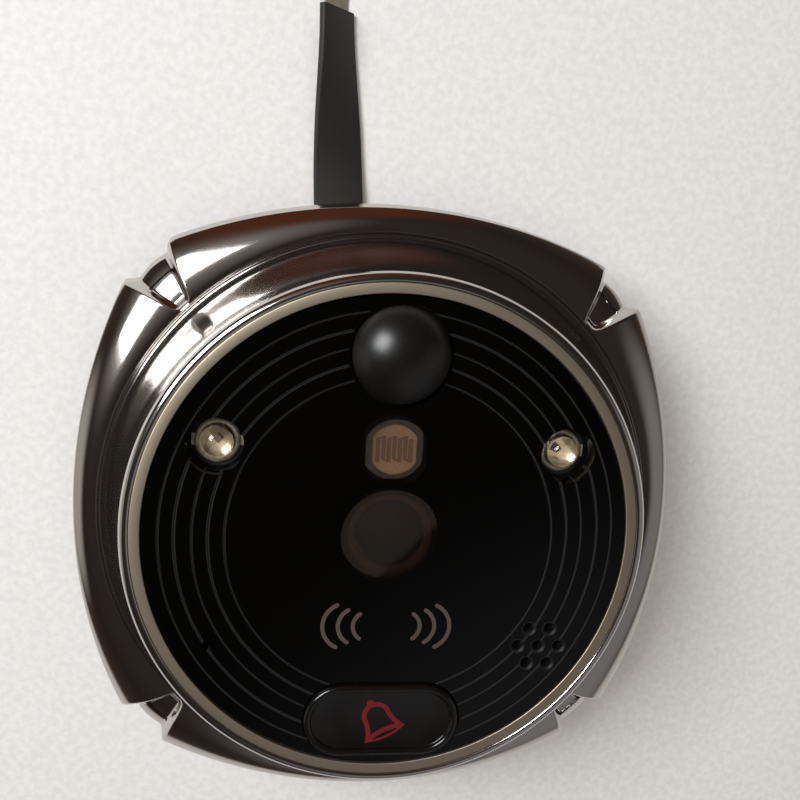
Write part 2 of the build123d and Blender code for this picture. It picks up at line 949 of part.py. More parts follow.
def cable_grommet():
    body = grommet_plate(-grommet_gap, cover_level, cover_top)
    body += grommet_plate(grommet_flange, cover_top, cover_top + grommet_flange_thickness)
    low = cover_level - grommet_flange_thickness
    body += grommet_plate(grommet_flange, low, cover_level)
    slot = box(
        cable_width + 2 * cable_slot_gap,
        cable_thickness + 2 * cable_slot_gap,
        low,
        board_level,
        cable_x,
        cable_y,
        turn=cable_heading,
    )
    return body - slot


def foam_gasket():
    """The foam ring round the back cover's edge, the face that meets the door."""
    outer = cover_outline(cover_gap + gasket_edge_gap)
    inner = cover_outline(cover_gap + gasket_edge_gap + gasket_width)
    return extrude(outer - inner, gasket_thickness)


def mounting_pillar(side):
    """A round threaded pillar, with a flange inside the back cover."""
    x = side * pillar_pitch / 2
    body = disc(pillar_radius, foot_of_pillars, cover_top, x, 0)
    body = chamfer(body.edges().group_by(Axis.Z)[0], pillar_edge)
    body += disc(pillar_flange_radius, cover_top, cover_top + pillar_flange_thickness, x, 0)
    body -= disc(pillar_bore_radius, foot_of_pillars, foot_of_pillars + pillar_bore_depth, x, 0)
    return body


def ribbon_socket():
    return box(
        socket_length,
        socket_width,
        board_level - socket_height,
        board_level,
        cable_x,
        cable_y,
        corner=plug_corner,
        turn=cable_heading,
    )


def bend_radii(points):
    """The largest arc that each corner's two runs allow."""
    radii = []
    for before, corner, after in zip(points, points[1:], points[2:]):
        arriving = Vector(corner) - Vector(before)
        leaving = Vector(after) - Vector(corner)
        half_turn = math.radians(arriving.get_angle(leaving) / 2)
        run = min(arriving.length, leaving.length)
        radii.append(bend_share * run / math.tan(half_turn))
    return radii


def flat_sweep(points, width, thickness, name):
    """A flat strip along straight runs joined by tangent arcs."""
    radii = bend_radii(points)
    path = FilletPolyline(*points, radius=radii)
    across = Vector(1, 0, 0).rotate(Axis.Z, cable_heading)
    start = Plane(origin=points[0], x_dir=across, z_dir=path % 0)
    strip = sweep(start * Rectangle(width, thickness), path=path)
    print(name, "radii", [round(r, 1) for r in radii], "length", round(path.length, 1))
    print(name, "volume share", round(strip.volume / (width * thickness * path.length), 4))
    return strip


def ribbon_cable():
    return flat_sweep(cable_points, cable_width, cable_thickness, "ribbon_cable")


def flex_tail():
    return flat_sweep(tail_points, tail_width, tail_thickness, "flex_tail")


def ribbon_plug():
    """The small board connector on the end of the flex."""
    end = Vector(tail_points[-1])
    way = (end - Vector(tail_points[-2])).normalized()
    upward = Vector(1, 0, 0).rotate(Axis.Z, cable_heading).cross(way)
    place = Plane(origin=end + way * (plug_length / 2), x_dir=way.cross(upward), z_dir=upward)
    body = Box(plug_width, plug_length, plug_thickness)
    return place * fillet(body.edges(), plug_corner)


def video_chip():
    x, y = chip_place
    body = box(chip_side, chip_side, board_top, board_top + chip_thickness, x, y)
    return chamfer(body.edges().group_by(Axis.Z)[-1], chip_corner)


def shield_can():
    """A folded metal can over the power circuit."""
    x, y = shield_place
    high = board_top + shield_height
    body = box(shield_width, shield_length, board_top, high, x, y, shield_corner)
    inner = shield_corner - shield_skin
    hollow = box(
        shield_width - 2 * shield_skin,
        shield_length - 2 * shield_skin,
        board_top,
        high - shield_skin,
        x,
        y,
        inner,
    )
    return body - hollow


def smoothing_capacitor():
    x, y = capacitor_place
    body = disc(capacitor_radius, board_top, board_top + capacitor_height, x, y)
    return fillet(body.edges().group_by(Axis.Z)[-1], capacitor_edge)


def memory_chip():
    x, y = memory_place
    low = board_level - memory_thickness
    body = box(memory_length, memory_width, low, board_level, x, y)
    return chamfer(body.edges().group_by(Axis.Z)[0], chip_corner)


single_parts = {
    "front_housing": front_housing,
    "trim_ring": trim_ring,
    "face_panel": face_panel,
    "panel_adhesive": panel_adhesive,
    "wave_marks": wave_marks,
    "pir_dome": pir_dome,
    "pir_sensor": pir_sensor,
    "light_sensor": light_sensor,
    "lens_barrel": lens_barrel,
    "lens_glass": lens_glass,
    "lens_holder": lens_holder,
    "ir_filter": ir_filter,
    "image_sensor": image_sensor,
    "lens_light_seal": lens_light_seal,
    "speaker": speaker,
    "speaker_seal": speaker_seal,
    "microphone": microphone,
    "mic_boot": mic_boot,
    "call_button": call_button,
    "bell_symbol": bell_symbol,
    "button_pad": button_pad,
    "tact_switch": tact_switch,
    "switch_plunger": switch_plunger,
    "inner_frame": inner_frame,
    "main_board": main_board,
    "board_screws": board_screws,
    "video_chip": video_chip,
    "shield_can": shield_can,
    "smoothing_capacitor": smoothing_capacitor,
    "memory_chip": memory_chip,
    "rear_cover": rear_cover,
    "rear_screws": rear_screws,
    "foam_gasket": foam_gasket,
    "cable_grommet": cable_grommet,
    "ribbon_socket": ribbon_socket,
    "ribbon_cable": ribbon_cable,
    "flex_tail": flex_tail,
    "ribbon_plug": ribbon_plug,
}

paired_parts = {
    "ir_lamp_board": lamp_board,
    "ir_lamp_cup": lamp_cup,
    "ir_lamp_dome": lamp_dome,
    "mounting_pillar": mounting_pillar,
}

for node, make in single_parts.items():
    save(node, make())

for node, make in paired_parts.items():
    for side, side_name in ((-1, "left"), (1, "right")):
        save(f"{node}_{side_name}", make(side))
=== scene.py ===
# %% [markdown]
# # A peephole door camera, outdoor unit
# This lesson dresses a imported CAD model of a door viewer's outdoor unit, as it lies on a pale
# table. The CAD pieces whose shape is right keep their mesh and get a finish. The pieces whose
# curves catch the light, such as the chrome housing, are built again here from the same sizes.

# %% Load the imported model
import math

import bpy
from mathutils import Matrix, Vector


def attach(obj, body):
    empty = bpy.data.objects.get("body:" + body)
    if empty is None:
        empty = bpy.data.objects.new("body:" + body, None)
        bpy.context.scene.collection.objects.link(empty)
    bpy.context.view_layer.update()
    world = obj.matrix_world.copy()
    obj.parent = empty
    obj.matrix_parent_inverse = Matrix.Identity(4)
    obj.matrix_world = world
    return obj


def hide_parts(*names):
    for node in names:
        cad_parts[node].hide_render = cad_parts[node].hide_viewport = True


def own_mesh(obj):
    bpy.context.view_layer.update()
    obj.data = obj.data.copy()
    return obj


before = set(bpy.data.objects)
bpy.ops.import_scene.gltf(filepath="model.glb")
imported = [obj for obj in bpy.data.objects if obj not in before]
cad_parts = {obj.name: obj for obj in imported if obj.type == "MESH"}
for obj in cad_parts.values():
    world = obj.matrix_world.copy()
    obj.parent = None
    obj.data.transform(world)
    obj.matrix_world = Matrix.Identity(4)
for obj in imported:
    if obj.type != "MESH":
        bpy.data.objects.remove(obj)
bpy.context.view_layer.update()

# %% [markdown]
# Every size below is in millimetres, as a maker would write it. Blender works in metres, so one
# value turns them at the last moment.

# %% Sizes that several pieces share
MM = 0.001
TABLE_LEVEL = -10.0
FACE = 15.3
FRAME_TOP = 11.6
LIGHT_Y = 9.1
print("the face stands", FACE - TABLE_LEVEL, "mm over the table")

# %% [markdown]
# ## The camera
# The camera stands about 8 cm above the face, a little towards the cable. Its place and turn were
# worked out from the circles of the face and the corners of the housing, so they are as good as
# that fit. The three unit vectors below are the camera's right, up and backwards.

# %% The photograph's camera
camera_data = bpy.data.cameras.new("photo_camera")
camera = bpy.data.objects.new("photo_camera", camera_data)
bpy.context.collection.objects.link(camera)
camera_place = Vector((-10.7, 27.75, 96.3)) * MM
right = Vector((0.990, 0.0568, 0.1223)).normalized()
up = Vector((-0.036, 0.985, -0.166))
up = (up - right * up.dot(right)).normalized()
back = right.cross(up)
camera_turn = Matrix((right, up, back)).transposed().to_4x4()
camera.matrix_world = Matrix.Translation(camera_place) @ camera_turn
camera_data.lens = 37.44
camera_data.sensor_width = 36.0
camera_data.clip_start = 0.004
camera_data.clip_end = 20
bpy.context.scene.camera = camera
print("camera stands", round(camera_place.z / MM - FACE), "mm over the face")

# %% [markdown]
# ## Helpers for finishes
# Colours are written as the hex values that a paint program shows. Shaders want linear light, so
# one function turns them. A second small function adds a shader node with its settings and links,
# and a third starts a finish from its typical values.

# %% Colours and shader nodes
def linear(code, alpha=1.0):
    """A hex colour in the linear values that a shader takes."""
    parts = [int(code[place:place + 2], 16) / 255 for place in (1, 3, 5)]
    values = [p / 12.92 if p <= 0.04045 else ((p + 0.055) / 1.055) ** 2.4 for p in parts]
    return (*values, alpha)


def add(tree, kind, settings=None, links=None):
    """Adds one node: settings go to its inputs or its options, links to its inputs."""
    node = tree.nodes.new(kind)
    for name, value in (settings or {}).items():
        if isinstance(name, int) or name in node.inputs:
            node.inputs[name].default_value = value
        else:
            setattr(node, name, value)
    for name, socket in (links or {}).items():
        tree.links.new(socket, node.inputs[name])
    return node


def new_finish(name, colour, metallic, roughness, **more):
    """A finish named for its material, with constant values on its shader's own sockets."""
    finish = bpy.data.materials.new(name)
    finish.use_nodes = True
    shader = finish.node_tree.nodes["Principled BSDF"]
    shader.inputs["Base Color"].default_value = linear(colour)
    shader.inputs["Metallic"].default_value = metallic
    shader.inputs["Roughness"].default_value = roughness
    for key, value in more.items():
        shader.inputs[key.replace("_", " ")].default_value = value
    finish.diffuse_color = linear(colour)
    print("finish:", name)
    return finish, finish.node_tree, shader


# %% [markdown]
# Most surfaces here are moulded, plated or printed, and what tells them apart close by is the size
# and depth of their grain. One function draws such a grain from its real size, and lets it shift
# the colour between two shades.

# %% A grain of real size
def grain(tree, shader, size_mm, depth_mm, shades=None, stretch=(1, 1, 1), detail=3.0):
    """Bumps of one size, and a drift of colour between two shades."""
    place = add(tree, "ShaderNodeTexCoord")
    scaled = add(
        tree, "ShaderNodeMapping", {"Scale": stretch}, {"Vector": place.outputs["Object"]}
    )
    noise = add(
        tree,
        "ShaderNodeTexNoise",
        {"Scale": 1 / (size_mm * MM), "Detail": detail},
        {"Vector": scaled.outputs["Vector"]},
    )
    bump = add(
        tree,
        "ShaderNodeBump",
        {"Strength": 1.0, "Distance": depth_mm * MM},
        {"Height": noise.outputs["Fac"]},
    )
    tree.links.new(bump.outputs["Normal"], shader.inputs["Normal"])
    if shades:
        ramp = add(tree, "ShaderNodeValToRGB", None, {"Fac": noise.outputs["Fac"]})
        ramp.color_ramp.elements[0].position = 0.35
        ramp.color_ramp.elements[0].color = linear(shades[0])
        ramp.color_ramp.elements[1].position = 0.65
        ramp.color_ramp.elements[1].color = linear(shades[1])
        tree.links.new(ramp.outputs["Color"], shader.inputs["Base Color"])


# %% [markdown]
# ## Helpers for shapes
# Nearly every piece here is a skin over rings of equally many points: circles for the turned
# pieces, long rounds for the button, bowed squares for the housing. One function lays the skin,
# and one makes the piece, gives it its finish and lets it ride on its CAD body.

# %% Skins over rings
def skin(rings, caps=(False, False), joined=False):
    """Points and faces of a skin over closed rings of equally many points."""
    count = len(rings[0])
    points = [point for ring in rings for point in ring]
    faces = []
    last = len(rings) if joined else len(rings) - 1
    for row in range(last):
        low, high = row * count, (row + 1) % len(rings) * count
        for step in range(count):
            ahead = (step + 1) % count
            faces.append((low + step, low + ahead, high + ahead, high + step))
    if caps[0]:
        faces.append(tuple(range(count - 1, -1, -1)))
    if caps[1]:
        faces.append(tuple(range((len(rings) - 1) * count, len(rings) * count)))
    return points, faces


def join(*skins):
    """Several skins as one."""
    points, faces = [], []
    for some_points, some_faces in skins:
        start = len(points)
        points += some_points
        faces += [tuple(start + corner for corner in face) for face in some_faces]
    return points, faces


def piece(name, shape, finish, body="unit", stands_for=(), sharp=38):
    """A mesh piece in millimetres, smooth but for its sharp edges."""
    points, faces = shape
    mesh = bpy.data.meshes.new(name)
    mesh.from_pydata([tuple(value * MM for value in point) for point in points], [], faces)
    mesh.materials.append(finish)
    made = bpy.data.objects.new(name, mesh)
    bpy.context.collection.objects.link(made)
    for face in mesh.polygons:
        face.use_smooth = True
    mesh.set_sharp_from_angle(angle=math.radians(sharp))
    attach(made, body)
    if stands_for:
        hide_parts(*stands_for)
    print(name, "has", len(points), "points")
    return made


def dress(finish, *nodes):
    """Gives CAD nodes whose shape is right their finish."""
    for node in nodes:
        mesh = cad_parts[node].data
        mesh.materials.clear()
        mesh.materials.append(finish)
    print(finish.name, "on", ", ".join(nodes))


# %% [markdown]
# A real edge is never quite sharp, and the thin light that runs along it is what makes metal and
# plastic look solid. So the section of each turned or moulded piece is drawn with its corners,
# and one function rounds them.

# %% Rounded sections
def rounded(corners, steps=5):
    """A section with rounded corners, each (across, level) or (across, level, radius)."""
    line = []
    for index, corner in enumerate(corners):
        here = Vector(corner[:2])
        radius = corner[2] if len(corner) > 2 else 0
        if not radius:
            line.append(tuple(here))
            continue
        before = (Vector(corners[index - 1][:2]) - here).normalized()
        after = (Vector(corners[(index + 1) % len(corners)][:2]) - here).normalized()
        half = before.angle(after) / 2
        run = radius / math.tan(half)
        centre = here + (before + after).normalized() * (radius / math.sin(half))
        start, end = here + before * run - centre, here + after * run - centre
        turn = start.angle(end)
        for step in range(steps + 1):
            share = step / steps
            first = math.sin((1 - share) * turn) / math.sin(turn)
            second = math.sin(share * turn) / math.sin(turn)
            line.append(tuple(centre + start * first + end * second))
    return line


def arc_through(first, middle, last, steps):
    """Points of the arc through three points of a section."""
    a, b, c = Vector(first), Vector(middle), Vector(last)
    d = 2 * (a.x * (b.y - c.y) + b.x * (c.y - a.y) + c.x * (a.y - b.y))
    x = (a.dot(a) * (b.y - c.y) + b.dot(b) * (c.y - a.y) + c.dot(c) * (a.y - b.y)) / d
    y = (a.dot(a) * (c.x - b.x) + b.dot(b) * (a.x - c.x) + c.dot(c) * (b.x - a.x)) / d
    centre = Vector((x, y))
    start = math.atan2(a.y - y, a.x - x)
    turn = math.atan2(c.y - y, c.x - x) - start
    turn = (turn + math.pi) % (2 * math.pi) - math.pi
    radius = (a - centre).length
    angles = [start + turn * step / steps for step in range(steps + 1)]
    return [(x + radius * math.cos(t), y + radius * math.sin(t)) for t in angles]


def spun(section, centre=(0, 0), steps=96):
    """Rings of a section turned about an upright axis."""
    turns = [2 * math.pi * step / steps for step in range(steps)]
    return [
        [(centre[0] + r * math.cos(t), centre[1] + r * math.sin(t), z) for t in turns]
        for r, z in section
    ]


# %% [markdown]
# ## Chrome plating on die-cast zinc
# The housing is cast, polished and plated. Chrome is a mirror with hardly any colour of its own:
# a little over half of the light comes back, slightly warm, and all the drawing in it is the
# room's. The ground surface under it waves by a hair, which bends the reflections.

# %% Chrome finish
chrome, tree, shader = new_finish("chrome plating on zinc", "#C6C1BC", 1.0, 0.1)
grain(tree, shader, 7.0, 0.006, detail=1.0)

# %% [markdown]
# ## The housing's outline
# The housing is a square with bowed sides and rounded corners. Its skin is drawn in polar steps:
# for each direction, one function gives the distance to the outline, drawn in by some inset.

# %% Outline of the housing
SIDE_HALF, SIDE_BOW, CORNER = 34.45, 62.0, 6.0
DECK, RIM_LEVEL = 6.5, 0.5
FOOT, CREASE, CREASE_SIZE = 30.3, 30.7, 0.3
NOTCH_FLOOR, NOTCH_DEPTH = 36.75, 1.1


def reach(angle, base, inset=0.0):
    """Distance from the middle to the outline drawn in by base, and inwards again by inset."""
    turn = abs((angle + math.pi / 4) % (math.pi / 2) - math.pi / 4)
    middle = SIDE_BOW - SIDE_HALF
    bow = SIDE_BOW - base - inset
    between = SIDE_BOW - base - CORNER
    corner = (math.sqrt(2 * between**2 - middle**2) - middle) / 2
    lean = math.atan2(corner, corner + middle)
    meeting = math.atan2(bow * math.sin(lean), bow * math.cos(lean) - middle)
    if turn < meeting:
        return math.sqrt(bow**2 - (middle * math.sin(turn)) ** 2) - middle * math.cos(turn)
    off = math.pi / 4 - turn
    far = corner * math.sqrt(2)
    return far * math.cos(off) + math.sqrt((CORNER - inset) ** 2 - (far * math.sin(off)) ** 2)


NOTCH_SUNK = (reach(math.pi / 4, 0) - NOTCH_FLOOR) * math.cos(
    math.asin((SIDE_BOW - SIDE_HALF) / (SIDE_BOW * math.sqrt(2)))
)
print("side", round(reach(0, 0), 2), "corner", round(reach(math.pi / 4, 0), 2), "mm")

# %% [markdown]
# ## The housing's skin
# The skin runs from the ring's seat over the lip, down the hollow side of the round drum, through
# a thin crease, and over the pillow-shaped body to its rim. Each corner has a notch, whose floor
# is a second pillow that lies deeper. So each point of the skin is worked out on both pillows,
# and a smooth step across the notch's edge chooses between them. That keeps the edges soft, as
# polishing leaves them.

# %% Section of the pillow
BEAD, BEAD_DROP = 0.6, 0.15
EDGE_LEAN, EDGE_RADIUS, DRAFT = math.radians(41), 0.12, 0.7
CROWN_SHARE, EDGE_SHARE, RIM_ROUND = 0.66, 0.8, 0.4


def ease(share):
    """A smooth step from 0 to 1."""
    share = min(max(share, 0), 1)
    return share * share * (3 - 2 * share)


def pillow(angle, share, base, top, bead):
    """A point on the pillow, from the crease at share 0, over the crown and edge, to the rim."""
    start = CREASE + CREASE_SIZE
    end = reach(angle, base) - DRAFT
    run = end - EDGE_RADIUS * (1 - math.sin(EDGE_LEAN)) - start
    crown = run / math.sin(EDGE_LEAN)
    brow = top - crown * (1 - math.cos(EDGE_LEAN))
    foot = brow - EDGE_RADIUS * math.cos(EDGE_LEAN)
    if share < CROWN_SHARE:
        lean = share / CROWN_SHARE * EDGE_LEAN
        across, level = start + crown * math.sin(lean), top - crown * (1 - math.cos(lean))
        along = crown * lean
        if along < bead:
            level -= BEAD_DROP * (1 - math.sqrt(1 - (1 - along / bead) ** 2))
    elif share < EDGE_SHARE:
        round_share = (share - CROWN_SHARE) / (EDGE_SHARE - CROWN_SHARE)
        lean = EDGE_LEAN + round_share * (math.pi / 2 - EDGE_LEAN)
        across = end - EDGE_RADIUS * (1 - math.sin(lean))
        level = foot + EDGE_RADIUS * math.cos(lean)
    else:
        down = (share - EDGE_SHARE) / (1 - EDGE_SHARE)
        across, level = end + DRAFT * ease(down * 2 - 1), foot + (RIM_LEVEL - foot) * down
    rim = RIM_LEVEL + RIM_ROUND
    if level < rim:
        across -= RIM_ROUND * (1 - math.sqrt(max(1 - ((rim - level) / RIM_ROUND) ** 2, 0)))
    return across, level


side_level = pillow(0, EDGE_SHARE, 0, DECK, BEAD)[1]
print("the edge lies", round(side_level, 1), "mm up at a side's middle")

# %% Share of the notch
NOTCH_NECK, NOTCH_MOUTH, NOTCH_RISE = 0.5, 2.3, 1.6
NOTCH_EDGE, NOTCH_SOFTER = 0.5, 0.2


def notch_share(angle, across):
    """0 outside a notch and 1 on its floor. Its sides grow softer and wider outwards."""
    off = (angle % (math.pi / 2)) - math.pi / 4
    along = across * math.cos(off) - CREASE
    aside = abs(across * math.sin(off))
    half = NOTCH_NECK + (NOTCH_MOUTH - NOTCH_NECK) * along / (NOTCH_FLOOR - CREASE)
    edge = NOTCH_EDGE + NOTCH_SOFTER * max(along, 0)
    return ease((half - aside) / edge + 0.5) * ease((along - CREASE_SIZE) / NOTCH_RISE)


print("share at a corner's floor:", notch_share(math.pi / 4, NOTCH_FLOOR))

# %% [markdown]
# The notches need finer steps than the sides, because their edges catch the light. So the
# directions lie close together at the corners, and the rows close together next to the crease.

# %% Lip, drum, crease and the steps of the skin
lip_inside, lip_top, lip_outside = (26.15, FACE), (26.38, FACE + 0.13), (27.2, FACE - 0.8)
RING_SEAT = 14.2
lip = arc_through(lip_inside, (26.24, FACE + 0.09), lip_top, 4)
lip += arc_through(lip_top, (26.93, FACE - 0.12), lip_outside, 12)[1:]
wall = arc_through(lip_outside, (28.3, 10.5), (FOOT, DECK), 22)[1:]
drum = [(lip_inside[0], RING_SEAT)] + lip + wall
groove = [
    (CREASE - CREASE_SIZE * math.cos(t), DECK - CREASE_SIZE * math.sin(t))
    for t in [math.pi * step / 8 for step in range(9)]
]
SIDE_STEPS, NOTCH_STEPS, NOTCH_SPAN = 64, 80, 10
side_span = 90 - NOTCH_SPAN
directions = []
for quarter in range(4):
    middle = quarter * 90
    for step in range(SIDE_STEPS):
        directions.append((middle + (step / SIDE_STEPS - 0.5) * side_span) % 360)
    for step in range(NOTCH_STEPS):
        directions.append((middle + side_span / 2 + step * NOTCH_SPAN / NOTCH_STEPS) % 360)
directions = sorted(math.radians(d) for d in directions)
BEAD_SHARE, BEAD_STEPS, DECK_STEPS = 0.09, 10, 64
shares = [(step / BEAD_STEPS) ** 1.5 * BEAD_SHARE for step in range(BEAD_STEPS)]
shares += [BEAD_SHARE + (1 - BEAD_SHARE) * step / DECK_STEPS for step in range(DECK_STEPS + 1)]
print(len(directions), "directions and", len(shares), "rows on the pillow")

# %% Skin of the housing
RIM_IN, SKIRT_IN, SKIRT_TOP = 1.2, 2.0, 4.5
FLOOR_ROUND, FLOOR_WALL = 0.3, 1.5
rows = []
for across, level in drum:
    rows.append([(across, level) for angle in directions])
for across, level in groove:
    row = []
    for angle in directions:
        sunk = notch_share(angle, across)
        row.append((across, level + sunk * (DECK - NOTCH_DEPTH - level)))
    rows.append(row)
for share in shares:
    row = []
    for angle in directions:
        outer = pillow(angle, share, 0, DECK, BEAD)
        inner = pillow(angle, share, NOTCH_SUNK - DRAFT, DECK - NOTCH_DEPTH, 0)
        sunk = notch_share(angle, outer[0])
        row.append(tuple(o + (i - o) * sunk for o, i in zip(outer, inner)))
    rows.append(row)
for inset, level in ((RIM_IN, RIM_LEVEL), (SKIRT_IN, RIM_LEVEL), (SKIRT_IN, SKIRT_TOP)):
    row = []
    for angle in directions:
        sunk = notch_share(angle, reach(angle, 0))
        edge = reach(angle, 0) + (reach(angle, NOTCH_SUNK) - reach(angle, 0)) * sunk
        edge -= min(inset, RIM_IN)
        row.append((min(edge, reach(angle, inset), NOTCH_FLOOR - FLOOR_ROUND), level))
    if inset == SKIRT_IN:
        row = [(min(across, NOTCH_FLOOR - FLOOR_WALL), level) for across, level in row]
    rows.append(row)
rings = [
    [(r * math.cos(a), r * math.sin(a), z) for (r, z), a in zip(row, directions)] for row in rows
]
stands_for = ["front_housing"]
piece("housing_skin", skin(rings), chrome, stands_for=stands_for, sharp=42)

# %% [markdown]
# ## Satin anodised aluminium
# The flat ring round the face is turned and anodised to a pale champagne. Turning leaves fine
# circles, drawn here as ripples a tenth of a millimetre apart, coarser than the real ones so that
# they show. They spread the light across the ring. At a scale of 1, Blender's wave texture has
# its waves 0.314 m apart.

# %% Ring finish and ring
WAVE, TURNING, TURNING_DEPTH = 0.314, 0.1, 0.0015
champagne, tree, shader = new_finish("satin anodised aluminium", "#C2B69F", 1.0, 0.5)
place = add(tree, "ShaderNodeTexCoord")
rings_drawn = add(
    tree,
    "ShaderNodeTexWave",
    {
        "wave_type": "RINGS",
        "rings_direction": "Z",
        "Scale": WAVE / (TURNING * MM),
        "Distortion": 0.4,
    },
    {"Vector": place.outputs["Object"]},
)
bump = add(
    tree,
    "ShaderNodeBump",
    {"Strength": 1.0, "Distance": TURNING_DEPTH * MM},
    {"Height": rings_drawn.outputs["Fac"]},
)
tree.links.new(bump.outputs["Normal"], shader.inputs["Normal"])

RING_INNER, RING_OUTER, RING_FOOT, RING_TOP = 25.0, 26.1, 14.18, 15.38
section = rounded(
    [
        (RING_INNER, RING_FOOT),
        (RING_INNER, RING_TOP, 0.1),
        (RING_OUTER, RING_TOP, 0.12),
        (RING_OUTER, RING_FOOT),
    ],
    steps=4,
)
piece(
    "face_ring",
    skin(spun(section, steps=240), joined=True),
    champagne,
    stands_for=["trim_ring"],
)

# %% [markdown]
# ## Smoked acrylic
# The face is one disc of smoked acrylic with five faint turned grooves. Its back and edges are
# printed black, except for two windows, over the photocell and over the lens. To the eye it is a
# deep black gloss with two dim brown windows. So the finish lets light through there and is
# nearly black elsewhere. The distance from each window's middle decides, and the photocell's
# window is cut straight at both sides. On top the windows are a little wider, so that a slanting
# look is stopped by the print and not by the gloss. The index of acrylic is 1.49.

# %% Windows in the print
CLEAR, SMOKY, PRINT_WIDER = 0.75, 0.5, 0.8
PHOTOCELL_WINDOW, PHOTOCELL_CUT, LENS_WINDOW = 2.62, 2.28, 4.4
smoked, tree, shader = new_finish(
    "smoked acrylic", "#0B0A09", 0.0, 0.03, IOR=1.49, Transmission_Weight=1.0
)
grain(tree, shader, 9.0, 0.002, detail=1.0)
place = add(tree, "ShaderNodeTexCoord")
flat = add(
    tree,
    "ShaderNodeVectorMath",
    {"operation": "MULTIPLY", 1: (1, 1, 0)},
    {0: place.outputs["Object"]},
)
axes = add(tree, "ShaderNodeSeparateXYZ", None, {"Vector": place.outputs["Object"]})
on_top = add(
    tree,
    "ShaderNodeMath",
    {"operation": "GREATER_THAN", 1: (FACE - 0.2) * MM},
    {0: axes.outputs["Z"]},
)
wider = add(
    tree,
    "ShaderNodeMath",
    {"operation": "MULTIPLY", 1: PRINT_WIDER * MM},
    {0: on_top.outputs["Value"]},
)
windows = []
for middle, radius in (((0, LIGHT_Y, 0), PHOTOCELL_WINDOW), ((0, 0, 0), LENS_WINDOW)):
    away = add(
        tree,
        "ShaderNodeVectorMath",
        {"operation": "DISTANCE", 1: [value * MM for value in middle]},
        {0: flat.outputs["Vector"]},
    )
    within = add(
        tree,
        "ShaderNodeMath",
        {"operation": "SUBTRACT"},
        {0: away.outputs["Value"], 1: wider.outputs["Value"]},
    )
    windows.append(
        add(
            tree,
            "ShaderNodeMath",
            {"operation": "LESS_THAN", 1: radius * MM},
            {0: within.outputs["Value"]},
        )
    )


# %% Dye by place
def share_where(operation, limit, share, value):
    """A share of 1 where a value keeps to a limit."""
    kept = add(tree, "ShaderNodeMath", {"operation": operation, 1: limit}, {0: value})
    settings = {"operation": "MULTIPLY", 1: share}
    return add(tree, "ShaderNodeMath", settings, {0: kept.outputs["Value"]}).outputs["Value"]


aside = add(tree, "ShaderNodeMath", {"operation": "ABSOLUTE"}, {0: axes.outputs["X"]})
aside = add(
    tree,
    "ShaderNodeMath",
    {"operation": "SUBTRACT"},
    {0: aside.outputs["Value"], 1: wider.outputs["Value"]},
)
straight = share_where("LESS_THAN", PHOTOCELL_CUT * MM, CLEAR, aside.outputs["Value"])
photocell_window = add(
    tree,
    "ShaderNodeMath",
    {"operation": "MULTIPLY"},
    {0: windows[0].outputs["Value"], 1: straight},
)
lens_window = share_where("GREATER_THAN", 0.5, SMOKY, windows[1].outputs["Value"])
open_here = add(
    tree,
    "ShaderNodeMath",
    {"operation": "MAXIMUM"},
    {0: photocell_window.outputs["Value"], 1: lens_window},
)
dye = add(tree, "ShaderNodeValToRGB", None, {"Fac": open_here.outputs["Value"]})
dye.color_ramp.elements[0].color = linear("#0B0A09")
dye.color_ramp.elements[1].position = CLEAR
dye.color_ramp.elements[1].color = linear("#C6B7A8")
dye.color_ramp.elements.new(SMOKY).color = linear("#8A7F75")
tree.links.new(dye.outputs["Color"], shader.inputs["Base Color"])

# %% [markdown]
# The turned grooves are matt and catch a little light, which is all that shows of them. So a
# table of radii raises the roughness there. The edges of the loudspeaker's holes are matt too.

# %% Matt grooves and hole edges
radius = add(tree, "ShaderNodeVectorMath", {"operation": "LENGTH"}, {0: flat.outputs["Vector"]})
FACE_RADIUS, GROOVES, GROOVE_HALF = 24.8, (16.8, 18.4, 20.0, 21.7, 23.3), 0.13
radius_share = add(
    tree,
    "ShaderNodeMath",
    {"operation": "DIVIDE", 1: FACE_RADIUS * MM},
    {0: radius.outputs["Value"]},
)
turned = add(tree, "ShaderNodeValToRGB", None, {"Fac": radius_share.outputs["Value"]})
table_of_radii = turned.color_ramp
table_of_radii.interpolation = "CONSTANT"
smooth, matt = (0.03, 0.03, 0.03, 1), (0.85, 0.85, 0.85, 1)
table_of_radii.elements[0].color = smooth
table_of_radii.elements[1].color = smooth
for groove_radius in GROOVES:
    for edge, value in ((-GROOVE_HALF, matt), (GROOVE_HALF, smooth)):
        table_of_radii.elements.new((groove_radius + edge) / FACE_RADIUS).color = value
matt_here = turned.outputs["Color"]
SPEAKER_X, SPEAKER_Y, HOLE_CIRCLE, HOLE_EDGE, HOLE_MATT = 16.45, -11.65, 2.25, 0.8, 0.6
hole_places = [(SPEAKER_X, SPEAKER_Y)]
for turn in range(6):
    way = math.radians(60 * turn)
    hole_places.append(
        (SPEAKER_X + HOLE_CIRCLE * math.cos(way), SPEAKER_Y + HOLE_CIRCLE * math.sin(way))
    )
for x, y in hole_places:
    from_hole = add(
        tree,
        "ShaderNodeVectorMath",
        {"operation": "DISTANCE", 1: (x * MM, y * MM, 0)},
        {0: flat.outputs["Vector"]},
    )
    drilled = share_where("LESS_THAN", HOLE_EDGE * MM, HOLE_MATT, from_hole.outputs["Value"])
    matt_here = add(
        tree, "ShaderNodeMath", {"operation": "MAXIMUM"}, {0: matt_here, 1: drilled}
    ).outputs["Value"]
tree.links.new(matt_here, shader.inputs["Roughness"])
dress(smoked, "face_panel")

# %% [markdown]
# ## Screen ink
# The sound waves and the bell are printed with a thick ink, so they stand up a little and are
# matt. The grain is that of the screen's mesh, about a tenth of a millimetre.

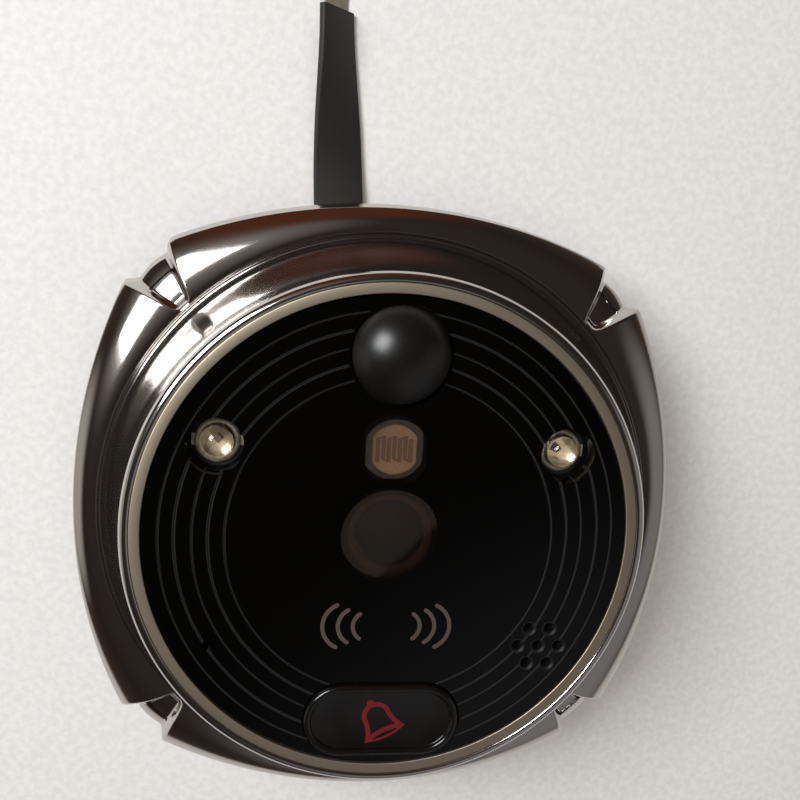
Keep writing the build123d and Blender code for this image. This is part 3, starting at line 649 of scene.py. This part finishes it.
# %% Printed marks
grey_ink, tree, shader = new_finish("screen ink, warm grey", "#463A36", 0.0, 0.6, IOR=1.5)
grain(tree, shader, 0.12, 0.004, ("#403531", "#4C3F3B"))
dress(grey_ink, "wave_marks")
red_ink, tree, shader = new_finish("screen ink, red", "#62070A", 0.0, 0.7, IOR=1.45)
grain(tree, shader, 0.12, 0.004, ("#560608", "#6E090C"))
dress(red_ink, "bell_symbol")

# %% [markdown]
# ## Moulded polyethylene
# The motion sensor looks through a thin dome of black polyethylene, which infrared passes. It is
# moulded against a fine eroded tool, so its gloss is broad and soft.

# %% Motion sensor window
polythene, tree, shader = new_finish("polyethylene, moulded", "#0F0E0C", 0.0, 0.32, IOR=1.51)
grain(tree, shader, 0.25, 0.003, ("#0D0C0B", "#12110F"))
PIR_Y, DOME_RADIUS, DOME_SPRING, DOME_TOP = 19.0, 4.9, 15.65, 18.3
rise = DOME_TOP - DOME_SPRING
ball = (DOME_RADIUS**2 + rise**2) / (2 * rise)
sweep = math.asin(DOME_RADIUS / ball)
crown = [
    (ball * math.sin(sweep * t / 24), DOME_TOP - ball + ball * math.cos(sweep * t / 24))
    for t in range(23, -1, -1)
]
crown[-1] = (0.01, DOME_TOP)
FLANGE, FLANGE_TOP, DOME_WALL = 5.7, 13.3, 0.6
section = [(4.85, FRAME_TOP), (FLANGE, FRAME_TOP), (FLANGE, FLANGE_TOP)]
section.append((DOME_RADIUS, FLANGE_TOP))
section += rounded([section[-1], (DOME_RADIUS, DOME_SPRING, 0.25), crown[0]])[1:-1]
section += crown
bore = DOME_RADIUS - DOME_WALL
inside = [(0.01, DOME_TOP - DOME_WALL), (3.0, DOME_TOP - 1.4), (bore, 15.4), (bore, FRAME_TOP)]
piece(
    "motion_sensor_dome",
    join(
        skin(spun(section, (0, PIR_Y)), caps=(False, True)),
        skin(spun(inside, (0, PIR_Y)), caps=(True, False)),
    ),
    polythene,
    stands_for=["pir_dome"],
)

# %% [markdown]
# ## Gloss ABS
# The call button is a cap of polished black ABS. Its raised rim is fully round on top, so lamps
# and windows draw two thin lines along it. The cap is a long round with its section swept along
# it: each ring is the outline drawn in by some inset, at some level. The same function serves the
# silicone ring under the button and the rubber grommet of the cable.

# %% Button finish
gloss_abs, tree, shader = new_finish("ABS, polished black", "#0E0D0C", 0.0, 0.16, IOR=1.54)
grain(tree, shader, 3.0, 0.002, ("#0C0B0A", "#100F0E"), detail=1.0)

# %% Long rounds
BUTTON_Y, BUTTON_LENGTH, BUTTON_WIDTH = -19.8, 16.4, 7.9


def long_round(length, width, level, centre, heading=0.0, steps=24):
    """A ring with two straight sides and round ends, turned by heading about its centre."""
    radius, half = width / 2, (length - width) / 2
    ring = []
    for side, start in ((1, -90), (-1, 90)):
        for step in range(steps + 1):
            turn = math.radians(start + 180 * step / steps)
            x = side * half + radius * math.cos(turn)
            y = radius * math.sin(turn)
            ring.append(
                (
                    centre[0] + x * math.cos(heading) - y * math.sin(heading),
                    centre[1] + x * math.sin(heading) + y * math.cos(heading),
                    level,
                )
            )
    return ring


def button_rounds(section):
    """Rings of the button's outline, each drawn in by an inset, at its level."""
    return [
        long_round(
            BUTTON_LENGTH - 2 * inset, BUTTON_WIDTH - 2 * inset, level, (0, BUTTON_Y)
        )
        for inset, level in section
    ]


# %% Call button
CAP_FOOT, CAP_FLANGE, CAP_CEILING, CAP_DISH, CAP_TOP = 12.35, 13.15, 14.35, 15.55, 15.95
CAP_RIM, CAP_MIDDLE, FLANGE_OUT, STEM, STEM_END = 0.75, 3.9, 0.45, 1.6, 9.95
section = [(CAP_RIM, CAP_FOOT), (-FLANGE_OUT, CAP_FOOT), (-FLANGE_OUT, CAP_FLANGE)]
section.append((0.0, CAP_FLANGE))
rim = [(0.0, CAP_FLANGE), (0.0, CAP_TOP, 0.34), (CAP_RIM, CAP_TOP, 0.34), (CAP_RIM, CAP_DISH)]
section += rounded(rim, 7)[1:-1]
dish = [(CAP_RIM, CAP_TOP), (CAP_RIM, CAP_DISH, 0.18), (CAP_MIDDLE, CAP_DISH)]
section += rounded(dish, 4)[1:-1]
section.append((CAP_MIDDLE + 0.03, CAP_DISH))
cap = skin(button_rounds(section), caps=(False, True))
hollow = [(CAP_MIDDLE, CAP_CEILING), (CAP_RIM, CAP_CEILING), (CAP_RIM, CAP_FOOT)]
under = skin(button_rounds(hollow), caps=(True, False))
stem_section = [(STEM, CAP_CEILING), (STEM, STEM_END), (0.02, STEM_END)]
stem = skin(spun(stem_section, (0, BUTTON_Y), 32), caps=(False, True))
piece("button_cap", join(cap, under, stem), gloss_abs, "button", ["call_button"])

# %% [markdown]
# ## The infrared lamps
# Each lamp is a lens of clear epoxy cast over a silver-plated lead frame. The frame has a small
# dish with the chip in its middle, which shows as a bull's-eye, and a flat lead to each side. Its
# plating has gone a warm beige under the epoxy, and the lens makes it look larger than it is. A
# collar of matt black ABS round each lamp keeps its edge dark.

# %% Lamp finishes
plated, tree, shader = new_finish("silver-plated lead frame", "#BCB09D", 0.7, 0.4)
grain(tree, shader, 0.35, 0.012, ("#A99D8A", "#D0C6B6"))
epoxy, tree, shader = new_finish(
    "epoxy, water clear", "#F6F0E4", 0.0, 0.02, IOR=1.53, Transmission_Weight=1.0
)
grain(tree, shader, 2.0, 0.004, detail=1.0)
chip_finish, tree, shader = new_finish("gallium arsenide chip", "#3A2E2A", 0.3, 0.3)
grain(tree, shader, 0.1, 0.002, ("#332825", "#443631"))

collar_finish, tree, shader = new_finish("ABS, matt black", "#141312", 0.0, 0.6, IOR=1.54)
grain(tree, shader, 0.2, 0.006, ("#100F0F", "#181716"))

# %% [markdown]
# The chips here, and the track on the photocell, are thin plates that stand on something else.
# One function makes such a plate from its outline and its two levels.

# %% Plates
def plate(outline, low, high, centre=(0, 0)):
    """A plate between two levels, open below, where nothing sees it."""
    rings = [[(centre[0] + x, centre[1] + y, level) for x, y in outline] for level in (low, high)]
    return skin(rings, caps=(False, True))


# %% Lamp pieces
LAMP_X, LAMP_Y, DISH_LEVEL, CHIP_TOP, CHIP_HALF = 17.9, 9.25, 12.12, 12.26, 0.26
LEAD_LOW, LEAD_HIGH, LEAD_START, LEAD_END = 11.85, 12.2, 2.05, 2.6
BULB, BULB_FOOT, BULB_FLATTER = 1.85, 12.6, 0.973
chip = [(0.0, CHIP_HALF), (CHIP_HALF, 0.0), (0.0, -CHIP_HALF), (-CHIP_HALF, 0.0)]
for side, side_name in ((-1, "left"), (1, "right")):
    centre = (side * LAMP_X, LAMP_Y)
    frame_section = [(0.02, DISH_LEVEL), (0.42, DISH_LEVEL), (0.95, 12.5), (1.1, 12.56)]
    frame_section.append((1.25, 12.5))
    frame_section += [(1.3, 12.42), (1.78, 12.42), (1.86, 12.55), (2.1, 12.55), (2.3, 12.35)]
    frame_section += [(2.3, 11.85), (2.3, FRAME_TOP)]
    cup = skin(spun(frame_section, centre, 64), caps=(True, False))
    collar = [(2.32, 11.62), (2.32, 12.05), (2.42, 12.15), (2.7, 12.15), (2.8, 12.05)]
    collar += [(3.3, 11.85), (3.45, 11.7), (3.45, 11.62)]
    piece(
        f"lamp_collar_{side_name}",
        skin(spun(collar, centre, 64), joined=True),
        collar_finish,
    )
    leads = []
    for end in (-1, 1):
        half = 0.62 if end == side else 0.5
        inner, outer = centre[0] + end * LEAD_START, centre[0] + end * LEAD_END
        section = [(-half, LEAD_LOW), (half, LEAD_LOW), (half, LEAD_HIGH), (-half, LEAD_HIGH)]
        leads.append(
            skin(
                [[(x, LAMP_Y + y, z) for y, z in section] for x in (inner, outer)],
                caps=(True, True),
            )
        )
    piece(
        f"lamp_frame_{side_name}",
        join(cup, *leads),
        plated,
        stands_for=[f"ir_lamp_cup_{side_name}"],
    )
    piece(
        f"lamp_chip_{side_name}",
        plate(chip, DISH_LEVEL, CHIP_TOP, centre),
        chip_finish,
    )
    bulb_height = BULB * BULB_FLATTER
    turns = [math.radians(t) for t in range(0, 90, 5)]
    crown = [(BULB * math.cos(t), BULB_FOOT + bulb_height * math.sin(t)) for t in turns]
    lens = [(0.02, BULB_FOOT - 0.02), (BULB - 0.05, BULB_FOOT - 0.02)]
    lens += crown + [(0.02, BULB_FOOT + bulb_height)]
    piece(
        f"lamp_lens_{side_name}",
        skin(spun(lens, centre, 64), caps=(True, True)),
        epoxy,
        stands_for=[f"ir_lamp_dome_{side_name}"],
    )

# %% [markdown]
# ## The photocell
# Behind the face lies a photocell of cadmium sulphide. Its pale ceramic disc is cut straight at
# both sides, and a brown track winds across it. A lacquer gives both a slight gloss. The track
# is drawn as a thin raised line that folds back and forth.

# %% Photocell
ceramic, tree, shader = new_finish("lacquered ceramic", "#D9BC9A", 0.0, 0.3, IOR=1.5)
grain(tree, shader, 0.3, 0.004, ("#D0B18E", "#E2C8A8"))
dress(ceramic, "light_sensor")
track_finish, tree, shader = new_finish("cadmium sulphide track", "#916A59", 0.0, 0.4, IOR=1.5)
grain(tree, shader, 0.15, 0.003, ("#856050", "#9C7462"))
LIGHT_TOP, BARS, PITCH, SHIFT, FOLD_Y = 12.9, 7, 0.56, 0.12, 1.15
bar = [(-0.23, -1.25), (0.23, -1.25), (0.23, 1.25), (-0.23, 1.25)]
fold = [(0.0, -0.1), (PITCH, -0.1), (PITCH, 0.1), (0.0, 0.1)]
bars = []
for index in range(BARS):
    x = (index - BARS // 2) * PITCH
    side = -1 if index % 2 else 1
    bars.append(plate(bar, LIGHT_TOP, LIGHT_TOP + 0.02, (x, LIGHT_Y - side * SHIFT)))
    if index < BARS - 1:
        bars.append(plate(fold, LIGHT_TOP, LIGHT_TOP + 0.015, (x, LIGHT_Y + side * FOLD_Y)))
piece("photocell_track", join(*bars), track_finish)

# %% [markdown]
# ## The lens
# The barrel is turned aluminium, anodised black, which shows as a dull brown ring. In it sits a
# coated front lens. The coating sends back a little of the light, more than bare glass would at
# some colours, so the glass looks like a dark pool. Behind it is a filter of pale blue-green
# glass, which hardly shows from outside.

# %% Lens finishes
anodised, tree, shader = new_finish("aluminium, anodised black", "#8A7266", 0.6, 0.42)
grain(tree, shader, 0.3, 0.004, ("#816A5E", "#937A6E"))
dress(anodised, "lens_barrel")
glass, tree, shader = new_finish(
    "coated optical glass", "#161213", 0.0, 0.02, IOR=1.6, Transmission_Weight=1.0
)
grain(tree, shader, 4.0, 0.002, detail=1.0)
dress(glass, "lens_glass")
filter_glass, tree, shader = new_finish(
    "infrared filter glass", "#9FC7CC", 0.0, 0.02, IOR=1.52, Transmission_Weight=0.9
)
grain(tree, shader, 2.0, 0.001, detail=1.0)
dress(filter_glass, "ir_filter")

# %% [markdown]
# ## Moulded ABS, rubber and foam
# The inner frame and the back cover are black ABS from a spark-eroded tool, which leaves a grain
# of about a third of a millimetre and takes the gloss off. The seals are foam tape and rubber,
# dull and nearly black. Silicone is milky, because light goes a little way into it.

# %% Mouldings and seals
abs_black, tree, shader = new_finish("ABS, spark-eroded black", "#191817", 0.0, 0.55, IOR=1.54)
grain(tree, shader, 0.35, 0.02, ("#161514", "#1E1D1C"))
dress(abs_black, "inner_frame", "rear_cover", "lens_holder", "speaker", "tact_switch")
tape, tree, shader = new_finish("acrylic foam tape, black", "#121212", 0.0, 0.8, IOR=1.48)
grain(tree, shader, 0.3, 0.01, ("#0F0F0F", "#161616"))
dress(tape, "panel_adhesive", "speaker_seal", "lens_light_seal")
rubber, tree, shader = new_finish("EPDM rubber", "#171716", 0.0, 0.7, IOR=1.5)
grain(tree, shader, 0.5, 0.01, ("#141413", "#1C1C1B"))
dress(rubber, "mic_boot")
silicone, tree, shader = new_finish(
    "silicone rubber", "#BDBBB6", 0.0, 0.5, IOR=1.41, Subsurface_Weight=0.2
)
grain(tree, shader, 0.6, 0.004, ("#B4B2AD", "#C6C4BF"))

# %% [markdown]
# The button rests on a ring of silicone, which gives way by half a millimetre and pushes it back.
# So the ring is made here as a mesh of its own, with a slight waist.

# %% Button's return ring
PAD_SEAT, PAD_TOP, PRESS = 10.6, 12.35, 0.5
WAIST_LOW, WAIST_HIGH = 11.1, 11.8
pad_section = [(0.35, PAD_SEAT), (0.5, WAIST_LOW), (0.5, WAIST_HIGH), (0.35, PAD_TOP)]
pad_section += [(1.35, PAD_TOP), (1.2, WAIST_HIGH), (1.2, WAIST_LOW), (1.35, PAD_SEAT)]
pad = piece(
    "return_ring",
    skin(button_rounds(pad_section), joined=True),
    silicone,
    stands_for=["button_pad"],
)
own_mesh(pad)

# %% [markdown]
# The foam ring on the back is cut from closed-cell sheet. Its cells, about half a millimetre, show
# as pits, which are painted darker than the cell walls as painted shade. The ring follows the
# cover's outline, with edges that the knife has pressed round.

# %% Foam ring on the back
CELL, CELL_DEPTH = 0.5, 0.06
foam, tree, shader = new_finish("closed-cell foam", "#1B1B1A", 0.0, 0.9, IOR=1.45)
place = add(tree, "ShaderNodeTexCoord")
cells = add(
    tree,
    "ShaderNodeTexVoronoi",
    {"Scale": 1 / (CELL * MM)},
    {"Vector": place.outputs["Object"]},
)
bump = add(
    tree,
    "ShaderNodeBump",
    {"Strength": 1.0, "Distance": CELL_DEPTH * MM},
    {"Height": cells.outputs["Distance"]},
)
tree.links.new(bump.outputs["Normal"], shader.inputs["Normal"])
# Painted shade: the ramp makes the bottoms of the pits darker and the cell walls lighter.
shade = add(tree, "ShaderNodeValToRGB", None, {"Fac": cells.outputs["Distance"]})
shade.color_ramp.elements[0].color = linear("#101010")
shade.color_ramp.elements[1].color = linear("#262625")
tree.links.new(shade.outputs["Color"], shader.inputs["Base Color"])

GASKET_OUTER, GASKET_WIDTH, GASKET_TOP, KNIFE_EDGE, COVER_GAP = 2.45, 3.0, 0.99, 0.2, 0.45
foam_section = rounded(
    [
        (0.0, GASKET_TOP),
        (0.0, 0.0, KNIFE_EDGE),
        (GASKET_WIDTH, 0.0, KNIFE_EDGE),
        (GASKET_WIDTH, GASKET_TOP),
    ],
    steps=4,
)
turns = [2 * math.pi * step / 240 for step in range(240)]
limit = NOTCH_FLOOR - FLOOR_WALL - COVER_GAP
foam_rings = []
for inset, level in foam_section:
    reaches = [min(reach(a, GASKET_OUTER + inset), limit - inset) for a in turns]
    foam_rings.append([(r * math.cos(a), r * math.sin(a), level) for r, a in zip(reaches, turns)])
piece(
    "foam_ring", skin(foam_rings, joined=True), foam, stands_for=["foam_gasket"]
)

# %% [markdown]
# The grommet is a long round of soft rubber with a slot for the cable. Its rolled lip keeps the
# damp out. The same rings as for the button make it, turned a little, as the cable runs. Each
# row of the table is one ring: its length, its width and its level.

# %% Cable grommet
CABLE_X, CABLE_Y, HEADING = -3.8, 8.0, math.radians(4.3)
GROMMET = (
    (6.5, 1.4, 3.3),
    (6.5, 1.4, 0.75),
    (6.9, 1.8, 0.52),
    (11.4, 5.4, 0.5),
    (11.9, 5.9, 0.62),
    (12.0, 6.0, 0.98),
    (10.2, 4.2, 1.0),
    (10.2, 4.2, 2.8),
    (12.0, 6.0, 2.8),
    (12.0, 6.0, 3.3),
)
exit_place = (CABLE_X, CABLE_Y)
grommet_rings = [long_round(*row, exit_place, HEADING, steps=16) for row in GROMMET]
piece(
    "grommet_lip",
    skin(grommet_rings, joined=True),
    rubber,
    stands_for=["cable_grommet"],
)

# %% [markdown]
# ## Metal small parts
# The mounting pillars are turned brass with a nickel plate. The screws are zinc plated, the can
# is tinned sheet, and the sensor's can and the microphone are drawn steel. Each keeps its CAD
# shape and gets its own grain. Nickel looks warm, zinc a little blue and tin a soft grey, and
# turned or drawn metal has its grain stretched along one way.

# %% Metal finishes
nickel, tree, shader = new_finish("nickel-plated brass", "#C9C2AE", 1.0, 0.25)
grain(tree, shader, 0.4, 0.004, ("#BDB59F", "#D3CDBB"), stretch=(0.2, 0.2, 3))
dress(nickel, "mounting_pillar_left", "mounting_pillar_right")
zinc, tree, shader = new_finish("zinc-plated steel", "#BFC3C6", 1.0, 0.32)
grain(tree, shader, 0.5, 0.006, ("#B2B8BE", "#CCCFCF"))
dress(zinc, "board_screws", "rear_screws")
tinned, tree, shader = new_finish("tinned steel sheet", "#C8C8C4", 1.0, 0.3)
grain(tree, shader, 0.8, 0.006, ("#BCBCB8", "#D4D4D0"))
dress(tinned, "shield_can")
drawn, tree, shader = new_finish("nickel-plated steel", "#C4C0B8", 1.0, 0.28)
grain(tree, shader, 0.5, 0.004, ("#BAB6AE", "#CECAC2"))
dress(drawn, "pir_sensor", "microphone")
aluminium, tree, shader = new_finish("drawn aluminium", "#D2D3D4", 1.0, 0.3)
grain(tree, shader, 0.4, 0.004, ("#C8C9CA", "#DCDDDE"), stretch=(1, 1, 0.2))
dress(aluminium, "smoothing_capacitor")

# %% [markdown]
# ## Board parts
# Circuit boards are glass laminate under green solder mask, which is glossy. Chips are black
# epoxy compound with a fine dull grain, and the socket, the plug and the switch's plunger are
# ivory nylon with a soft sheen.

# %% Board finishes
laminate, tree, shader = new_finish("laminate, green mask", "#17583A", 0.0, 0.3, IOR=1.55)
grain(tree, shader, 0.6, 0.006, ("#124D32", "#1D6343"))
dress(laminate, "main_board", "ir_lamp_board_left", "ir_lamp_board_right")
compound, tree, shader = new_finish("epoxy moulding compound", "#232324", 0.0, 0.6, IOR=1.55)
grain(tree, shader, 0.12, 0.006, ("#1F1F20", "#292A2B"))
dress(compound, "video_chip", "memory_chip", "image_sensor")
nylon, tree, shader = new_finish("nylon, ivory", "#DDD5BE", 0.0, 0.45, IOR=1.53)
grain(tree, shader, 0.4, 0.006, ("#D5CCB3", "#E5DEC9"))
dress(nylon, "ribbon_socket", "ribbon_plug", "switch_plunger")

# %% [markdown]
# ## The flat cable
# A flat cable of 6 mm leaves the back, turns up along the table and ends just inside the top of
# the picture. It is 58 mm from its socket to the end of its black wrap. The photograph shows the
# last 21 mm, and the way under the housing is a guess. Then a narrower flex of olive polyimide
# goes on for about 15 mm to a small plug, outside the picture. That length is a guess too. A
# smooth curve gives the line, with the CAD route's points as its control points, the end moved
# by 0.7 mm to follow the photograph. The cable rolls slowly onto its right edge on its way, which
# is why it looks narrower towards its end, and why the end looks cut on a slant.

# %% Routes of the cable and the flex
CABLE_WIDTH, CABLE_THICK, FLEX_WIDTH, FLEX_THICK = 6.0, 0.9, 4.0, 0.3
ROLL, ROLL_START = math.radians(52), 0.55
CABLE_ROUTE = [
    (-3.8, 8.0, 3.6),
    (-3.8, 8.0, -4.9),
    (-4.12, 12.3, -9.3),
    (-4.9, 22.5, -9.35),
    (-6.1, 39.0, -8.9),
    (-6.95, 56.9, -8.6),
]
FLEX_ROUTE = [(-6.95, 56.9, -8.6), (-7.95, 64.3, -8.8), (-8.7, 71.3, -9.0)]


def smooth_line(route, fineness=24):
    """Points along the smooth curve that the route's points control, in millimetres."""
    curve = bpy.data.curves.new("route", "CURVE")
    curve.dimensions = "3D"
    spline = curve.splines.new("NURBS")
    spline.points.add(len(route) - 1)
    for point, place in zip(spline.points, route):
        point.co = (*[value * MM for value in place], 1)
    spline.order_u = 3
    spline.use_endpoint_u = True
    spline.resolution_u = fineness
    holder = bpy.data.objects.new("route", curve)
    line = bpy.data.meshes.new_from_object(holder)
    points = [vertex.co / MM for vertex in line.vertices]
    bpy.data.objects.remove(holder)
    bpy.data.meshes.remove(line)
    bpy.data.curves.remove(curve)
    return points


def length_of(line):
    """The length of a line, added up."""
    return sum((b - a).length for a, b in zip(line, line[1:]))


def flat_strip(line, width, thickness, roll):
    """A flat strip along a line, turned by roll at each share of it, and kept above the table."""
    across = Vector((math.cos(HEADING), math.sin(HEADING), 0))
    corners = ((-1, -1), (1, -1), (1, 1), (-1, 1))
    section = rounded(
        [(x * width / 2, y * thickness / 2, thickness * 0.3) for x, y in corners], steps=3
    )
    rings, total, gone = [], length_of(line), 0
    for index, here in enumerate(line):
        ahead = line[min(index + 1, len(line) - 1)]
        behind = line[max(index - 1, 0)]
        way = (ahead - behind).normalized()
        sideways = (across - way * across.dot(way)).normalized()
        upward = sideways.cross(way)
        if index:
            gone += (here - line[index - 1]).length
        turn = roll(gone / total)
        flat = sideways * math.cos(turn) + upward * math.sin(turn)
        thick = upward * math.cos(turn) - sideways * math.sin(turn)
        ring = [here + flat * a + thick * b for a, b in section]
        lift = max(TABLE_LEVEL - min(point.z for point in ring), 0)
        rings.append([(point.x, point.y, point.z + lift) for point in ring])
    return skin(rings, caps=(True, True))


# %% [markdown]
# The black wrap is taken for a woven acetate tape, with threads about a quarter of a millimetre
# apart, which make it dull. The flex is taken for polyimide, which is a clear amber and looks
# olive here, with a soft gloss.

# %% Cable finishes
THREAD, THREAD_DEPTH = 0.25, 0.02
wrap, tree, shader = new_finish("acetate cloth tape", "#1F1E1D", 0.0, 0.62, IOR=1.48)
place = add(tree, "ShaderNodeTexCoord")
threads = []
for direction in ("X", "Y"):
    threads.append(
        add(
            tree,
            "ShaderNodeTexWave",
            {"bands_direction": direction, "Scale": WAVE / (THREAD * MM), "Distortion": 1.5},
            {"Vector": place.outputs["Object"]},
        )
    )
weave = add(
    tree,
    "ShaderNodeMath",
    {"operation": "MAXIMUM"},
    {0: threads[0].outputs["Fac"], 1: threads[1].outputs["Fac"]},
)
bump = add(
    tree,
    "ShaderNodeBump",
    {"Strength": 1.0, "Distance": THREAD_DEPTH * MM},
    {"Height": weave.outputs["Value"]},
)
tree.links.new(bump.outputs["Normal"], shader.inputs["Normal"])
shade = add(tree, "ShaderNodeValToRGB", None, {"Fac": weave.outputs["Value"]})
shade.color_ramp.elements[0].color = linear("#1B1A19")
shade.color_ramp.elements[1].color = linear("#252422")
tree.links.new(shade.outputs["Color"], shader.inputs["Base Color"])

polyimide, tree, shader = new_finish("polyimide flex", "#7A755F", 0.0, 0.35, IOR=1.7)
grain(tree, shader, 1.0, 0.01, ("#6E6953", "#87826B"))

# %% Cable and flex
cable_line = smooth_line(CABLE_ROUTE)
flex_line = smooth_line(FLEX_ROUTE)
print("cable", round(length_of(cable_line), 1), "flex", round(length_of(flex_line), 1), "mm")


def cable_roll(share):
    """Flat on the table at first, then rolling onto its right edge."""
    return -ROLL * ease((share - ROLL_START) / (1 - ROLL_START))


def flex_roll(share):
    """As the cable's end at first, then flat again at the plug."""
    return -ROLL * (1 - share) ** 2


cable = piece(
    "flat_cable",
    flat_strip(cable_line, CABLE_WIDTH, CABLE_THICK, cable_roll),
    wrap,
    stands_for=["ribbon_cable"],
)
flex = piece(
    "bare_flex",
    flat_strip(flex_line, FLEX_WIDTH, FLEX_THICK, flex_roll),
    polyimide,
    stands_for=["flex_tail"],
)

# %% [markdown]
# ## Table and light
# The table is a plain pale sheet with a fine dull grain. A window to the upper left is the main
# light, and chrome shows its shape. A wide soft lamp overhead fills the shadows without being
# seen in the chrome.

# %% Table
sheet_finish, tree, shader = new_finish("polyethylene foam sheet", "#DFDDDA", 0.0, 0.65, IOR=1.5)
grain(tree, shader, 0.9, 0.05, ("#DAD8D5", "#E4E2DF"))
TABLE_HALF = 1600.0
corners = ((-1, -1), (1, -1), (1, 1), (-1, 1))
table_points = [(x * TABLE_HALF * MM, y * TABLE_HALF * MM, TABLE_LEVEL * MM) for x, y in corners]
table_mesh = bpy.data.meshes.new("table")
table_mesh.from_pydata(table_points, [], [(0, 1, 2, 3)])
table_mesh.materials.append(sheet_finish)
table = bpy.data.objects.new("table", table_mesh)
bpy.context.collection.objects.link(table)


# %% Lamps
def soft_lamp(name, place, aim, width, height, watts, colour, in_gloss=True):
    """A rectangular lamp aimed at a point, all in metres."""
    data = bpy.data.lights.new(name, "AREA")
    data.shape = "RECTANGLE"
    data.size, data.size_y = width, height
    data.energy = watts
    data.color = linear(colour)[:3]
    lamp = bpy.data.objects.new(name, data)
    bpy.context.collection.objects.link(lamp)
    lamp.location = place
    way = Vector(aim) - Vector(place)
    lamp.rotation_euler = way.to_track_quat("-Z", "Y").to_euler()
    lamp.visible_glossy = in_gloss
    print(name, "gives", watts, "W from", round(way.length, 2), "m")


middle = (0, 0, 0)
soft_lamp("window", (-0.3, 0.2, 0.36), middle, 0.25, 0.21, 2.5, "#FAFCFF")
soft_lamp("overhead", (-0.1, 0.1, 1.2), middle, 1.2, 1.2, 6.6, "#FFFAF5", in_gloss=False)

# %% [markdown]
# The room is dim and brown, which makes the chrome look dark from above. A few soft patches stand
# in for the rest of it: pale ones to the left, the right and the front, a glow round the window
# and something orange beyond the cable. The real room isn't known, so they are only a guess. Each
# patch is a direction, an angle that says how far it spreads, and a colour, and a smooth step
# fades it into the room.

# %% Room
world = bpy.data.worlds.new("room")
bpy.context.scene.world = world
world.use_nodes = True
tree = world.node_tree
tree.nodes.clear()
place = add(tree, "ShaderNodeTexCoord")
height = add(tree, "ShaderNodeSeparateXYZ", None, {"Vector": place.outputs["Generated"]})
room = add(tree, "ShaderNodeValToRGB", None, {"Fac": height.outputs["Z"]})
stops = [(0.0, "#4A3E36"), (0.12, "#3A302A"), (0.4, "#2E2824"), (0.75, "#35302C")]
ramp = room.color_ramp
ramp.elements[0].position, ramp.elements[0].color = stops[0][0], linear(stops[0][1])
ramp.elements[1].position, ramp.elements[1].color = stops[-1][0], linear(stops[-1][1])
for position, code in stops[1:-1]:
    ramp.elements.new(position).color = linear(code)
seen = room.outputs["Color"]
PATCHES = (
    ((-0.5, 0.46, 0.73), 36, "#77736E"),
    ((-0.96, -0.2, 0.18), 24, "#B9B5AF"),
    ((0.9, -0.2, 0.4), 32, "#8C8884"),
    ((-0.15, 0.95, 0.3), 34, "#5A3322"),
    ((0.45, -0.75, 0.48), 44, "#868485"),
)
for way, spread, code in PATCHES:
    facing = add(
        tree,
        "ShaderNodeVectorMath",
        {"operation": "DOT_PRODUCT", 1: Vector(way).normalized()},
        {0: place.outputs["Generated"]},
    )
    near = add(
        tree,
        "ShaderNodeMapRange",
        {
            "interpolation_type": "SMOOTHSTEP",
            "From Min": math.cos(math.radians(spread)),
            "From Max": math.cos(math.radians(spread / 3)),
        },
        {"Value": facing.outputs["Value"]},
    )
    blend = add(
        tree,
        "ShaderNodeMix",
        {"data_type": "RGBA"},
        {0: near.outputs["Result"], 6: seen},
    )
    blend.inputs[7].default_value = linear(code)
    seen = blend.outputs[2]
background = add(tree, "ShaderNodeBackground", {"Strength": 1.0}, {"Color": seen})
add(tree, "ShaderNodeOutputWorld", None, {"Surface": background.outputs["Background"]})
print("room with", len(PATCHES), "patches")

# %% Picture settings
bpy.context.scene.view_settings.view_transform = "Standard"
